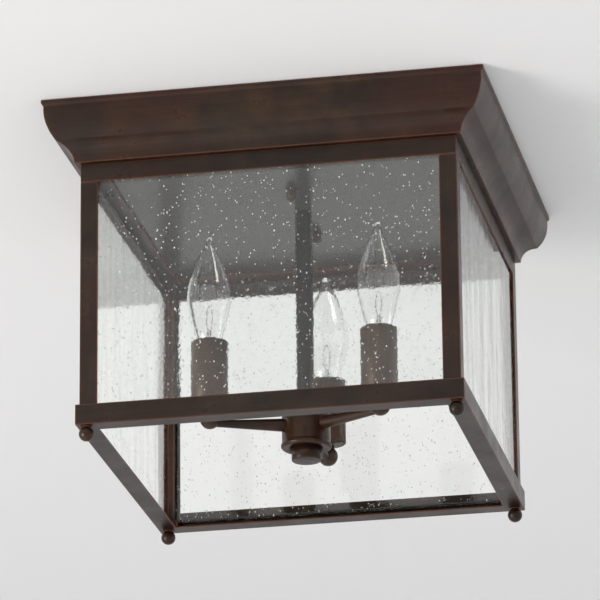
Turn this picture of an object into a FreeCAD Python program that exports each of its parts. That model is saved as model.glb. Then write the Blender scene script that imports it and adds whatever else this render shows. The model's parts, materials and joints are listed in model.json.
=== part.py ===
"""Porch ceiling lantern: a moulded square canopy over a four-sided seeded-glass body,
open underneath, with a three-candle cluster on a centre stem.

Frame: +Z up, +X to the right of the front pane, -Y towards the viewer.  The origin is the
middle of the crossbar's top face, where the lantern meets the ceiling.  Millimetres.
"""
import FreeCAD, Part

import math
import os
import re

import Sketcher

V = FreeCAD.Vector

# Driving sizes in millimetres and degrees.  Depths are measured down from the ceiling.
SIZES = {
    # room that every cutting tool keeps past the faces it goes through
    "cut_margin": 1.0,
    # canopy: square crown moulding of folded sheet, open at the top, stepping out from the body
    "canopy_foot_overhang": 4.0, "cavetto_run": 11.0, "ovolo_run": 7.2, "canopy_fillet_step": 1.5,
    "canopy_fillet_drop": 4.0, "ovolo_drop": 27.6, "canopy_drop": 42.0, "canopy_foot_rise": 1.5,
    "ovolo_bulge": 2.3, "cavetto_bulge": 2.4, "canopy_wall": 1.2, "canopy_flange_width": 17.0,
    "pan_thick": 1.0, "pan_gap": 1.0,
    # hanging hardware
    "bar_half_length": 60.0, "bar_half_width": 9.5, "bar_thick": 1.6,
    "box_screw_spacing": 69.85, "slot_length": 14.0, "slot_radius": 2.3, "wire_hole_radius": 6.0,
    "stud_spacing": 92.0, "stud_radius": 2.05, "stud_below_pan": 5.6, "stud_hole_gap": 0.3,
    "stud_nut_radius": 5.0, "stud_nut_height": 3.2,
    "cap_nut_radius": 4.2, "cap_nut_height": 8.2,
    "ground_place": 18.0, "ground_radius": 1.75, "ground_head_radius": 3.5, "ground_head_height": 2.0,
    "ground_length": 6.0,
    # lantern body of half-inch angle
    "body_half": 135.0, "angle_leg": 12.8, "angle_thick": 1.2, "top_rail_height": 13.6,
    "body_drop": 236.5, "base_overhang": 2.5, "base_leg": 14.2, "base_height": 14.8,
    "frame_screw_place": 70.0, "frame_screw_inset": 6.5, "frame_screw_radius": 2.0,
    "frame_screw_head_radius": 3.5, "frame_screw_head_height": 2.2, "frame_screw_tip": 3.0,
    # glazing
    "glass_thick": 3.0, "glass_gap": 0.2, "glass_top_gap": 3.0,
    "foot_side": 12.0, "foot_height": 4.0, "keeper_side": 5.0, "keeper_gap": 0.4,
    # ball finials
    "finial_inset": 4.2, "ball_radius": 5.35, "ball_seat_radius": 2.9, "finial_washer_radius": 4.2,
    "finial_washer_thick": 0.6, "finial_stud_radius": 1.7, "finial_thread_gap": 0.05,
    "finial_hole_gap": 0.4, "finial_stud_length": 5.5,
    # stem and hub
    "rod_radius": 4.85, "rod_bore_radius": 3.3, "rod_gap": 0.05, "rod_above_pan": 12.8,
    "rod_nut_radius": 8.0, "rod_nut_height": 4.0, "bushing_height": 1.5,
    "bushing_wall": 1.6, "stem_radius": 6.35, "stem_wall": 1.0,
    "hub_drop": 188.0, "hub_height": 31.4, "hub_radius": 17.5, "hub_wall": 2.5, "hub_top_thick": 3.0,
    "hub_lip_radius": 2.2, "hub_lip_flare": 0.8, "hub_floor_thick": 2.8,
    "plug_radius": 10.7, "plug_neck_radius": 8.0, "plug_thread_gap": 0.05, "plug_height": 10.4,
    "plug_washer_thick": 0.8, "plug_bevel": 0.9,
    # arms and candles
    "candle_circle": 72.0, "cluster_twist": -1.85, "arm_hub_inset": 16.0, "arm_fall": 4.5,
    "arm_hub_radius": 5.0, "arm_end_radius": 2.3, "arm_bore_radius": 1.5, "arm_tail": 1.5, "arm_short": 2.6,
    "cup_lift": 3.2, "cup_ball_radius": 7.2, "cup_cavity_radius": 4.7, "cup_neck_radius": 4.5,
    "cup_neck_length": 9.9, "seat_thick": 2.0, "seat_gap": 0.15,
    "sleeve_length": 47.5, "sleeve_radius": 13.2, "sleeve_wall": 0.9,
    "nipple_radius": 3.0, "nipple_bore_radius": 1.6, "nipple_length": 14.0,
    "socket_radius": 9.5, "socket_inset": 2.6, "socket_floor": 6.0, "socket_well": 18.0,
    "shell_radius": 5.95, "shell_wall": 0.4, "shell_length": 13.5, "shell_recess": 1.0,
    "socket_contact_radius": 2.0, "socket_contact_thick": 1.0,
    # bulbs
    "bulb_base_radius": 5.85, "bulb_base_length": 15.2, "bulb_glass_height": 83.8, "bulb_glass_wall": 0.8,
    "bulb_neck_radius": 5.5, "bulb_widest": 15.7, "bulb_throat": 10.2, "bulb_nub_radius": 1.9,
    "bulb_contact_radius": 2.2, "bulb_contact_height": 1.5,
    # inner leads
    "lead_radius": 1.0, "lead_offset": 1.6, "lead_cup_bend": 3.0, "lead_hub_bend": 6.0,
    "splice_drop": 20.0, "splice_radius": 4.4, "splice_height": 12.0,
}

# Places worked out from the driving sizes, in the order that they build on each other.
DERIVED = {
    "canopy_foot_half": "body_half + canopy_foot_overhang",
    "ovolo_half": "canopy_foot_half + cavetto_run",
    "canopy_fillet_half": "ovolo_half + ovolo_run",
    "canopy_top_half": "canopy_fillet_half + canopy_fillet_step",
    "canopy_opening_half": "canopy_foot_half - canopy_flange_width",
    "base_half": "body_half + base_overhang",
    "finial_place": "body_half - finial_inset",
    "rod_below_hub_top": "hub_top_thick + rod_nut_height",
    "hub_lip_drop": "hub_drop + hub_height",
    "arm_hub_drop": "hub_drop + arm_hub_inset",
    "arm_end_drop": "arm_hub_drop + arm_fall",
    "cup_ball_drop": "arm_end_drop - cup_lift",
    "sleeve_drop": "cup_ball_drop - cup_neck_length - sleeve_length",
    "well_drop": "sleeve_drop + socket_inset + socket_well",
    "bulb_base_drop": "well_drop - socket_contact_thick - bulb_contact_height - bulb_base_length",
}

CORNERS = {"front_left": (-1, -1), "front_right": (1, -1), "rear_right": (1, 1), "rear_left": (-1, 1)}
ARMS = {"left": -150.0, "right": -30.0, "rear": 90.0}
BOTH = (-1, 1)

doc = FreeCAD.newDocument("PorchLantern")
nodes = []


def make_sheet():
    """Hold the driving sizes as plain numbers and the derived ones as formulas, with an alias each."""
    sheet = doc.addObject("Spreadsheet::Sheet", "Sizes")
    rows = [(alias, str(number)) for alias, number in SIZES.items()]
    rows += [(alias, "=" + formula) for alias, formula in DERIVED.items()]
    for row, (alias, content) in enumerate(rows, start=1):
        sheet.set("A%d" % row, alias)
        sheet.set("B%d" % row, content)
        sheet.setAlias("B%d" % row, alias)
    doc.recompute()
    return sheet


sheet = make_sheet()


def size(alias):
    """Read one driving size."""
    return float(sheet.get(alias))


def bind(obj, **formulas):
    """Tie properties to formulas written in the sheet's aliases."""
    for prop, text in formulas.items():
        path = {"x": "Placement.Base.x", "y": "Placement.Base.y", "z": "Placement.Base.z"}.get(prop, prop)
        obj.setExpression(path, re.sub(r"[a-z]+_[a-z_]+", lambda name: "Sizes." + name.group(0), str(text)))
    return obj


def add(kind, label):
    obj = doc.addObject(kind, "Item")
    obj.Label = label
    return obj


def node(obj, label):
    """Name a finished sub-part."""
    obj.Label = label
    nodes.append(obj)
    return obj


def block(x, y, z, dx, dy, dz, label="block"):
    """A box from its low corner and its three sides, all formulas."""
    return bind(add("Part::Box", label), x=x, y=y, z=z, Length=dx, Width=dy, Height=dz)


def disc(radius, z, height, x="0", y="0", label="disc"):
    """An upright cylinder from its lower face's centre."""
    return bind(add("Part::Cylinder", label), Radius=radius, Height=height, x=x, y=y, z=z)


def hexagon(radius, z, height, x="0", y="0"):
    """An upright hexagonal prism from its lower face's centre."""
    prism = add("Part::Prism", "hexagon")
    prism.Polygon = 6
    return bind(prism, Circumradius=radius, Height=height, x=x, y=y, z=z)


def ball(radius, z, x="0", y="0"):
    return bind(add("Part::Sphere", "ball"), Radius=radius, x=x, y=y, z=z)


def fuse(*shapes):
    joined = add("Part::MultiFuse", "joined")
    joined.Shapes = list(shapes)
    return joined


def cut(base, *tools):
    """Take one or more tools out of a base."""
    result = add("Part::Cut", "cut")
    result.Base = base
    result.Tool = tools[0] if len(tools) == 1 else fuse(*tools)
    return result


def tube(outer, bore, z, height, x="0", y="0"):
    """An upright tube, open at both ends."""
    through = disc(bore, z + " - cut_margin", height + " + 2 * cut_margin", x, y)
    return cut(disc(outer, z, height, x, y), through)


def group(label, items):
    """Several alike solids in one node."""
    compound = add("Part::Compound", label)
    compound.Links = list(items)
    return node(compound, label)


def low_side(sign, outer, width):
    """The low coordinate of a strip that ends at outer on the side that sign names."""
    return "(%s) - (%s)" % (outer, width) if sign > 0 else "-(%s)" % outer


def feature(label, shape):
    """A sub-part whose outline is a moulding, a blown curve or a bent tube."""
    obj = add("Part::Feature", label)
    obj.Shape = shape
    return node(obj, label)


# ---------------------------------------------------------------- canopy and hanging hardware

def moulding(inward, upward, top):
    """Solid square moulding: a mirrored outline run along X, kept where it meets the same along Y."""
    def at(half, drop):
        return V(half - inward, 0, -drop + upward)

    ovolo_top = at(size("canopy_fillet_half"), size("canopy_fillet_drop"))
    ovolo_end = at(size("ovolo_half"), size("ovolo_drop"))
    foot = at(size("canopy_foot_half"), size("canopy_drop") - size("canopy_foot_rise"))
    floor = V(foot.x, 0, -size("canopy_drop") + upward)
    cap = V(size("canopy_top_half") - inward, 0, top)
    fillet = V(cap.x, 0, ovolo_top.z + (cap.x - ovolo_top.x))

    def bow(start, end, bulge, outward):
        """Middle point of an arc that leaves its chord by bulge."""
        chord = end - start
        side = V(-chord.z, 0, chord.x).normalize() * bulge
        return (start + end) * 0.5 + (side if outward else side * -1)

    ovolo = Part.Arc(ovolo_top, bow(ovolo_top, ovolo_end, size("ovolo_bulge"), True), ovolo_end).toShape()
    cavetto = Part.Arc(ovolo_end, bow(ovolo_end, foot, size("cavetto_bulge"), False), foot).toShape()
    right = [Part.makeLine(cap, fillet), Part.makeLine(fillet, ovolo_top), ovolo, cavetto,
             Part.makeLine(foot, floor)]
    left = [edge.mirror(V(0, 0, 0), V(1, 0, 0)) for edge in right]
    across_top = Part.makeLine(V(-cap.x, 0, top), cap)
    across_foot = Part.makeLine(V(-floor.x, 0, floor.z), floor)
    outline = Part.Wire(Part.__sortEdges__(right + left + [across_top, across_foot]))
    reach = 2 * size("canopy_top_half")
    run = Part.Face(outline)
    run.translate(V(0, -reach, 0))
    run = run.extrude(V(0, 2 * reach, 0))
    turned = run.copy()
    turned.rotate(V(0, 0, 0), V(0, 0, 1), 90)
    return run.common(turned)


def canopy_shell():
    """Crown-moulded sheet canopy with a return flange underneath."""
    wall = size("canopy_wall")
    opening = size("canopy_opening_half")
    hollow = moulding(wall, wall, 2 * wall)
    shell = moulding(0, 0, 0).cut(hollow)
    below = -size("canopy_drop") - wall
    hole = Part.makeBox(2 * opening, 2 * opening, 4 * wall, V(-opening, -opening, below))
    hole_screws = [Part.makeCylinder(size("frame_screw_radius"), 4 * wall, V(x, y, below))
                   for x, y in frame_screw_places()]
    feature("canopy_shell", shell.cut([hole] + hole_screws).removeSplitter())


def frame_screw_places():
    """Two screws along each side of the top rail."""
    inset = size("body_half") - size("frame_screw_inset")
    along = size("frame_screw_place")
    places = []
    for side in BOTH:
        for end in BOTH:
            places += [(end * along, side * inset), (side * inset, end * along)]
    return places


PAN_BASE = "canopy_wall - canopy_drop"
PAN_TOP = PAN_BASE + " + pan_thick"


def screw_holes(z, height):
    """Clearance holes of the frame screws."""
    holes = []
    for side in BOTH:
        for end in BOTH:
            inset = "%d * (body_half - frame_screw_inset)" % side
            along = "%d * frame_screw_place" % end
            holes += [disc("frame_screw_radius", z, height, along, inset),
                      disc("frame_screw_radius", z, height, inset, along)]
    return holes


def sketched_plate(label, half_x, half_y, thick, z, cutters=()):
    """A flat plate as a padded centred rectangle, with its holes cut through."""
    body = add("PartDesign::Body", label + "_blank")
    sketch = body.newObject("Sketcher::SketchObject", "Outline")
    plane = [item for item in body.Origin.OriginFeatures if item.Role == "XY_Plane"][0]
    sketch.AttachmentSupport = [(plane, "")]
    sketch.MapMode = "FlatFace"
    hx, hy = size(half_x), size(half_y)
    corners = [V(-hx, -hy, 0), V(hx, -hy, 0), V(hx, hy, 0), V(-hx, hy, 0)]
    for index in range(4):
        sketch.addGeometry(Part.LineSegment(corners[index], corners[(index + 1) % 4]), False)
    for index in range(4):
        sketch.addConstraint(Sketcher.Constraint("Coincident", index, 2, (index + 1) % 4, 1))
    for index, way in enumerate(("Horizontal", "Vertical", "Horizontal", "Vertical")):
        sketch.addConstraint(Sketcher.Constraint(way, index))
    sketch.addConstraint(Sketcher.Constraint("Symmetric", 0, 1, 1, 2, -1, 1))
    wide = sketch.addConstraint(Sketcher.Constraint("DistanceX", 0, 1, 0, 2, 2 * hx))
    deep = sketch.addConstraint(Sketcher.Constraint("DistanceY", 1, 1, 1, 2, 2 * hy))
    bind(sketch, **{"Constraints[%d]" % wide: "2 * " + half_x, "Constraints[%d]" % deep: "2 * " + half_y})
    pad = body.newObject("PartDesign::Pad", "Plate")
    pad.Profile = sketch
    bind(pad, Length=thick)
    body.Tip = pad
    bind(body, z=z)
    return node(cut(body, *cutters), label)


def pan_plate():
    """Flat plate that lies on the canopy's return flange and carries the stem."""
    half = add("Part::Box", "pan_blank")
    width = "2 * (canopy_foot_half - canopy_wall - pan_gap)"
    corner = "-(canopy_foot_half - canopy_wall - pan_gap)"
    bind(half, x=corner, y=corner, z=PAN_BASE, Length=width, Width=width, Height="pan_thick")
    low, high = PAN_BASE + " - pan_thick", "3 * pan_thick"
    holes = [disc("rod_radius + rod_gap", low, high)] + screw_holes(low, high)
    holes += [disc("stud_radius + stud_hole_gap", low, high, "0", "%d * stud_spacing / 2" % side)
              for side in BOTH]
    node(cut(half, *holes), "pan_plate")


def crossbar():
    """Steel bar that two box screws hold to the ceiling box, through its slots."""
    low, high = "-2 * bar_thick", "3 * bar_thick"
    cutters = [disc("wire_hole_radius", low, high)]
    for side in BOTH:
        centre = "%d * box_screw_spacing / 2" % side
        run = "slot_length / 2 - slot_radius"
        cutters += [block("-slot_radius", "%s - (%s)" % (centre, run), low, "2 * slot_radius",
                          "2 * (%s)" % run, high)]
        cutters += [disc("slot_radius", low, high, "0", "%s + %d * (%s)" % (centre, end, run))
                    for end in BOTH]
        cutters += [disc("stud_radius", low, high, "0", "%d * stud_spacing / 2" % side)]
    cutters += [disc("ground_radius", low, high, "0", "ground_place")]
    sketched_plate("crossbar", "bar_half_width", "bar_half_length", "bar_thick", "-bar_thick", cutters)


STUD_TIP = PAN_BASE + " - stud_below_pan"


def hanging_hardware():
    """Studs, their lock nuts, the cap nuts under the pan and the ground screw."""
    studs, nuts, caps = [], [], []
    for side in BOTH:
        y = "%d * stud_spacing / 2" % side
        studs.append(disc("stud_radius", STUD_TIP, "-(%s)" % STUD_TIP, "0", y))
        nut = hexagon("stud_nut_radius", "-bar_thick - stud_nut_height", "stud_nut_height", "0", y)
        nuts.append(cut(nut, disc("stud_radius", "-2 * bar_thick - stud_nut_height",
                                  "2 * stud_nut_height + bar_thick", "0", y)))
        skirt = "cap_nut_height - cap_nut_radius"
        dome = "%s - (%s)" % (PAN_BASE, skirt)
        outside = fuse(disc("cap_nut_radius", dome, skirt, "0", y), ball("cap_nut_radius", dome, "0", y))
        below = cut(outside, block("-2 * cap_nut_radius", y + " - 2 * cap_nut_radius", PAN_BASE,
                                   "4 * cap_nut_radius", "4 * cap_nut_radius", "2 * cap_nut_radius"))
        caps.append(cut(below, disc("stud_radius", STUD_TIP, "stud_below_pan", "0", y)))
    group("mounting_studs", studs)
    group("stud_nuts", nuts)
    group("cap_nuts", caps)
    head = disc("ground_head_radius", "-bar_thick - ground_head_height", "ground_head_height",
                "0", "ground_place")
    shank = disc("ground_radius", "-ground_length", "ground_length", "0", "ground_place")
    node(fuse(head, shank), "ground_screw")


# ---------------------------------------------------------------- lantern body

def angle_ring(label, half, leg, height, foot_up, z_low, extra_cutters):
    """A mitred square ring of angle: upright legs outside, flat legs turned inwards."""
    blank = block("-(%s)" % half, "-(%s)" % half, z_low, "2 * (%s)" % half, "2 * (%s)" % half, height)
    window = "(%s) - (%s)" % (half, leg)
    through = block("-(%s)" % window, "-(%s)" % window, "%s - (%s)" % (z_low, height), "2 * (%s)" % window,
                    "2 * (%s)" % window, "3 * (%s)" % height)
    room = "(%s) - angle_thick" % half
    start = "%s + angle_thick" % z_low if foot_up else "%s - angle_thick" % z_low
    above = block("-(%s)" % room, "-(%s)" % room, start, "2 * (%s)" % room, "2 * (%s)" % room, height)
    node(cut(blank, through, above, *extra_cutters), label)


def rails():
    """Top rail under the canopy and the wider base rail that carries the panes."""
    angle_ring("top_frame", "body_half", "angle_leg", "top_rail_height", False,
               "-canopy_drop - top_rail_height",
               screw_holes("-canopy_drop - 3 * angle_thick", "6 * angle_thick"))
    holes = [disc("finial_stud_radius + finial_hole_gap", "-body_drop - angle_thick", "3 * angle_thick",
                  "%d * finial_place" % sx, "%d * finial_place" % sy) for sx, sy in CORNERS.values()]
    angle_ring("bottom_frame", "base_half", "base_leg", "base_height", True, "-body_drop", holes)


POST_BASE = "angle_thick - body_drop"
POST_TOP = "-canopy_drop - top_rail_height"
FOOT_TOP = POST_BASE + " + foot_height"


def posts():
    """Four upright angles, each with a tapped foot plate and a glass keeper in its corner."""
    feet, keepers = [], []
    for name, (sx, sy) in CORNERS.items():
        tall = "(%s) - (%s)" % (POST_TOP, POST_BASE)
        outer = block(low_side(sx, "body_half", "angle_leg"), low_side(sy, "body_half", "angle_leg"),
                      POST_BASE, "angle_leg", "angle_leg", tall)
        inner = block(low_side(sx, "body_half - angle_thick", "angle_leg"),
                      low_side(sy, "body_half - angle_thick", "angle_leg"), POST_BASE + " - cut_margin",
                      "angle_leg", "angle_leg", tall + " + 2 * cut_margin")
        node(cut(outer, inner), "post_" + name)
        nested = "body_half - angle_thick"
        foot = block(low_side(sx, nested, "foot_side"), low_side(sy, nested, "foot_side"), POST_BASE,
                     "foot_side", "foot_side", "foot_height")
        tapped = disc("finial_stud_radius + finial_thread_gap", POST_BASE + " - cut_margin",
                      "foot_height + 2 * cut_margin", "%d * finial_place" % sx, "%d * finial_place" % sy)
        feet.append(cut(foot, tapped))
        face = "body_half - angle_thick - glass_gap - glass_thick - keeper_gap"
        keepers.append(block(low_side(sx, face, "keeper_side"), low_side(sy, face, "keeper_side"), FOOT_TOP,
                             "keeper_side", "keeper_side", "-canopy_drop - angle_thick - (%s)" % FOOT_TOP))
    group("corner_feet", feet)
    group("glass_keepers", keepers)


def panes():
    """Four panes: front and rear run the full width, the side ones fit between them."""
    face = "body_half - angle_thick - glass_gap"
    low = FOOT_TOP + " + glass_gap"
    tall = "-canopy_drop - angle_thick - glass_top_gap - (%s)" % low
    inside = face + " - glass_thick - glass_gap"
    for name, sign in (("front", -1), ("rear", 1)):
        node(block("-(%s)" % face, low_side(sign, face, "glass_thick"), low, "2 * (%s)" % face,
                   "glass_thick", tall), "pane_" + name)
    for name, sign in (("left", -1), ("right", 1)):
        node(block(low_side(sign, face, "glass_thick"), "-(%s)" % inside, low, "glass_thick",
                   "2 * (%s)" % inside, tall), "pane_" + name)


def frame_screws():
    """Eight pan-head screws: up through the top rail and canopy into the pan plate."""
    seat = "-canopy_drop - angle_thick"
    screws = []
    for side in BOTH:
        for end in BOTH:
            inset = "%d * (body_half - frame_screw_inset)" % side
            along = "%d * frame_screw_place" % end
            for x, y in ((along, inset), (inset, along)):
                head = disc("frame_screw_head_radius", seat + " - frame_screw_head_height",
                            "frame_screw_head_height", x, y)
                shank = disc("frame_screw_radius", seat, "%s + frame_screw_tip - (%s)" % (PAN_TOP, seat),
                             x, y)
                screws.append(fuse(head, shank))
    group("frame_screws", screws)


def finials():
    """Ball finials: a stud on a flattened ball, with a loose washer, one at each corner."""
    seat = "-body_drop - finial_washer_thick"
    flat = "sqrt(ball_radius * ball_radius - ball_seat_radius * ball_seat_radius)"
    for name, (sx, sy) in CORNERS.items():
        x, y = "%d * finial_place" % sx, "%d * finial_place" % sy
        whole = ball("ball_radius", "%s - %s" % (seat, flat), x, y)
        over = block(x + " - 2 * ball_radius", y + " - 2 * ball_radius", seat, "4 * ball_radius",
                     "4 * ball_radius", "2 * ball_radius")
        stud = disc("finial_stud_radius", seat, "finial_stud_length", x, y)
        node(fuse(cut(whole, over), stud), "finial_" + name)
        ring = disc("finial_washer_radius", seat, "finial_washer_thick", x, y)
        bore = disc("finial_stud_radius + finial_thread_gap", seat + " - cut_margin",
                    "finial_washer_thick + 2 * cut_margin", x, y)
        node(cut(ring, bore), "finial_washer_" + name)


# ---------------------------------------------------------------- stem, hub and arms

HUB_TOP = "-hub_drop"
FLOOR_LOW = "-hub_lip_drop"
ROD_TOP = PAN_TOP + " + rod_above_pan"


def stem():
    """Hollow threaded rod inside a plain tube, held by a nut at each end."""
    low = HUB_TOP + " - rod_below_hub_top"
    tall = "%s - (%s)" % (ROD_TOP, low)
    node(tube("rod_radius", "rod_bore_radius", low, tall), "centre_rod")
    node(tube("stem_radius", "stem_radius - stem_wall", HUB_TOP, "%s - (%s)" % (PAN_BASE, HUB_TOP)),
         "stem_tube")
    nuts = []
    for z in (PAN_TOP, HUB_TOP + " - hub_top_thick - rod_nut_height"):
        nuts.append(cut(hexagon("rod_nut_radius", z, "rod_nut_height"),
                        disc("rod_radius", z + " - cut_margin", "rod_nut_height + 2 * cut_margin")))
    group("rod_nuts", nuts)
    node(tube("rod_radius", "rod_radius - bushing_wall", ROD_TOP, "bushing_height"), "rod_bushing")


def arm_line(name):
    """Start, direction and length of one arm's axis, from the hub's inner wall to its cup."""
    angle = math.radians(ARMS[name] + size("cluster_twist"))
    out = V(math.cos(angle), math.sin(angle), 0)
    start = V(0, 0, -size("arm_hub_drop"))
    end = out * size("candle_circle") + V(0, 0, -size("arm_end_drop"))
    way = (end - start).normalize()
    first = (size("hub_radius") - size("hub_wall") - size("arm_tail")) / math.hypot(way.x, way.y)
    last = (end - start).Length - size("arm_short")
    return start + way * first, way, last - first


def arm_solid(name, label):
    """Tapered arm without its bore."""
    start, way, length = arm_line(name)
    cone = bind(add("Part::Cone", label), Radius1="arm_hub_radius", Radius2="arm_end_radius")
    cone.Height = length
    cone.Placement = FreeCAD.Placement(start, FreeCAD.Rotation(V(0, 0, 1), way))
    return cone


def arm_bore(name):
    start, way, length = arm_line(name)
    bore = bind(add("Part::Cylinder", "bore"), Radius="arm_bore_radius")
    bore.Height = length * 2
    bore.Placement = FreeCAD.Placement(start - way * (length / 2), FreeCAD.Rotation(V(0, 0, 1), way))
    return bore


def hub():
    """Turned cluster hub: a cup with a rounded lip, three arm holes and a threaded floor hole."""
    tall = "hub_lip_drop - hub_drop"
    ring = bind(add("Part::Torus", "lip"), Radius1="hub_radius + hub_lip_flare - hub_lip_radius",
                Radius2="hub_lip_radius", z=FLOOR_LOW)
    body = fuse(disc("hub_radius", FLOOR_LOW, tall), ring)
    inner = disc("hub_radius - hub_wall", FLOOR_LOW + " + hub_floor_thick",
                 tall + " - hub_top_thick - hub_floor_thick")
    rod_hole = disc("rod_radius + rod_gap", HUB_TOP + " - 2 * hub_top_thick", "3 * hub_top_thick")
    floor_hole = disc("plug_neck_radius + plug_thread_gap", FLOOR_LOW + " - cut_margin",
                      "hub_floor_thick + 2 * cut_margin")
    envelopes = [arm_solid(name, "arm_envelope_" + name) for name in ARMS]
    node(cut(body, inner, rod_hole, floor_hole, *envelopes), "hub_body")
    head_top = FLOOR_LOW + " - plug_washer_thick"
    straight = disc("plug_radius", head_top + " - plug_height + plug_bevel", "plug_height - plug_bevel")
    bevel = bind(add("Part::Cone", "bevel"), Radius1="plug_radius - plug_bevel", Radius2="plug_radius",
                 Height="plug_bevel", z=head_top + " - plug_height")
    neck = disc("plug_neck_radius", head_top, "plug_washer_thick + hub_floor_thick")
    node(fuse(straight, bevel, neck), "hub_plug")
    node(tube("plug_radius - plug_bevel", "plug_neck_radius + plug_thread_gap", head_top,
              "plug_washer_thick"), "plug_washer")


def arms():
    """Three tapered hollow arms screwed into the hub and the cups."""
    for name in ARMS:
        node(cut(arm_solid(name, "arm_blank_" + name), arm_bore(name)), "arm_" + name)


def candle_place(name):
    """Formulas of one candle's axis."""
    angle = "%s + cluster_twist" % ARMS[name]
    return "candle_circle * cos((%s) * 1deg)" % angle, "candle_circle * sin((%s) * 1deg)" % angle


SLEEVE_BASE = "-sleeve_drop - sleeve_length"
SOCKET_TOP = "-sleeve_drop - socket_inset"
SOCKET_BASE = SLEEVE_BASE + " + nipple_length - socket_floor"
SHELL_LOW = "-well_drop"
CONTACT_TOP = SHELL_LOW + " + socket_contact_thick"
BASE_LOW = CONTACT_TOP + " + bulb_contact_height"


def cups():
    """Hollow ball cups with a neck and a seat that the candle sleeve drops over."""
    for name in ARMS:
        x, y = candle_place(name)
        top = SLEEVE_BASE + " + seat_thick"
        seat = disc("sleeve_radius - sleeve_wall - seat_gap", SLEEVE_BASE, "seat_thick", x, y)
        neck = disc("cup_neck_radius", "-cup_ball_drop", "cup_ball_drop + (%s)" % SLEEVE_BASE, x, y)
        outside = fuse(ball("cup_ball_radius", "-cup_ball_drop", x, y), neck, seat)
        hole = disc("nipple_radius", "-cup_ball_drop", "cup_ball_drop + cut_margin + (%s)" % top, x, y)
        cavity = ball("cup_cavity_radius", "-cup_ball_drop", x, y)
        node(cut(outside, cavity, hole, arm_solid(name, "cup_entry_" + name)), "cup_" + name)


def sockets():
    """Threaded nipples, insulating socket bodies, brass screw shells and the sleeves."""
    nipples, shells = [], []
    for name in ARMS:
        x, y = candle_place(name)
        low = "-cup_ball_drop + cup_cavity_radius"
        high = SLEEVE_BASE + " + nipple_length"
        nipples.append(tube("nipple_radius", "nipple_bore_radius", low, "%s - (%s)" % (high, low), x, y))
        tall = "%s - (%s)" % (SOCKET_TOP, SOCKET_BASE)
        well = disc("shell_radius + shell_wall", SHELL_LOW, "socket_well + cut_margin", x, y)
        throat = disc("nipple_radius", SOCKET_BASE + " - cut_margin", "socket_floor + cut_margin", x, y)
        chase = disc("nipple_bore_radius", SOCKET_BASE, "%s - (%s)" % (SHELL_LOW, SOCKET_BASE), x, y)
        node(cut(disc("socket_radius", SOCKET_BASE, tall, x, y), well, throat, chase), "socket_body_" + name)
        shells.append(tube("shell_radius + shell_wall", "shell_radius",
                           SOCKET_TOP + " - shell_recess - shell_length", "shell_length", x, y))
        shells.append(disc("socket_contact_radius", SHELL_LOW, "socket_contact_thick", x, y))
        node(tube("sleeve_radius", "sleeve_radius - sleeve_wall", SLEEVE_BASE, "sleeve_length", x, y),
             "candle_sleeve_" + name)
    group("socket_nipples", nipples)
    group("socket_shells", shells)


def bulb_outline(inset, base, tip):
    """Half outline of the blown bulb, from its neck to its tip, inset by the wall."""
    tall = tip - base
    shape = [(0.0, size("bulb_neck_radius")), (0.045, size("bulb_throat") * 0.84),
             (0.17, size("bulb_throat") * 1.22), (0.39, size("bulb_widest")), (0.60, size("bulb_widest") * 0.88),
             (0.80, size("bulb_widest") * 0.50), (0.93, size("bulb_widest") * 0.19),
             (0.975, size("bulb_nub_radius"))]
    points = [V(radius - inset, 0, base + share * tall) for share, radius in shape]
    curve = Part.BSplineCurve()
    curve.interpolate(points)
    end = V(0, 0, tip - inset)
    nub = V(points[-1].x * 0.45, 0, end.z)
    foot = V(0, 0, points[0].z)
    edges = [curve.toShape(), Part.makeLine(points[-1], nub), Part.makeLine(nub, end),
             Part.makeLine(end, foot), Part.makeLine(foot, points[0])]
    return Part.Face(Part.Wire(edges)).revolve(V(0, 0, 0), V(0, 0, 1), 360)


def bulbs():
    """Clear torpedo bulbs: blown glass, screw base and the contact under it."""
    base = -size("bulb_base_drop")
    tip = base + size("bulb_glass_height")
    wall = size("bulb_glass_wall")
    for name in ARMS:
        angle = math.radians(ARMS[name] + size("cluster_twist"))
        place = V(math.cos(angle), math.sin(angle), 0) * size("candle_circle")
        glass = bulb_outline(0, base, tip).cut(bulb_outline(wall, base + wall, tip))
        glass.translate(place)
        feature("bulb_glass_" + name, glass)
        x, y = candle_place(name)
        node(disc("bulb_base_radius", BASE_LOW, "bulb_base_length", x, y), "bulb_base_" + name)
        node(disc("bulb_contact_radius", CONTACT_TOP, "bulb_contact_height", x, y), "bulb_contact_" + name)


# ---------------------------------------------------------------- inner leads

def bent_tube(points, bends, radius):
    """A round lead along straight runs joined by tangent arcs."""
    edges, start = [], points[0]
    for index, bend in enumerate(bends, start=1):
        corner = points[index]
        back = (points[index - 1] - corner).normalize()
        ahead = (points[index + 1] - corner).normalize()
        half = back.getAngle(ahead) / 2
        trim = bend / math.tan(half)
        first, last = corner + back * trim, corner + ahead * trim
        middle = corner + (back + ahead).normalize() * (bend / math.sin(half) - bend)
        edges += [Part.LineSegment(start, first).toShape(), Part.Arc(first, middle, last).toShape()]
        start = last
    edges.append(Part.LineSegment(start, points[-1]).toShape())
    path = Part.Wire(edges)
    way = points[1] - points[0]
    ring = Part.Wire(Part.makeCircle(radius, points[0], way))
    tube = path.makePipeShell([ring], True, False)
    run = path.Length
    print("lead: length %.1f mm, volume ratio %.4f" % (run, tube.Volume / (math.pi * radius ** 2 * run)))
    return tube


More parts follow.
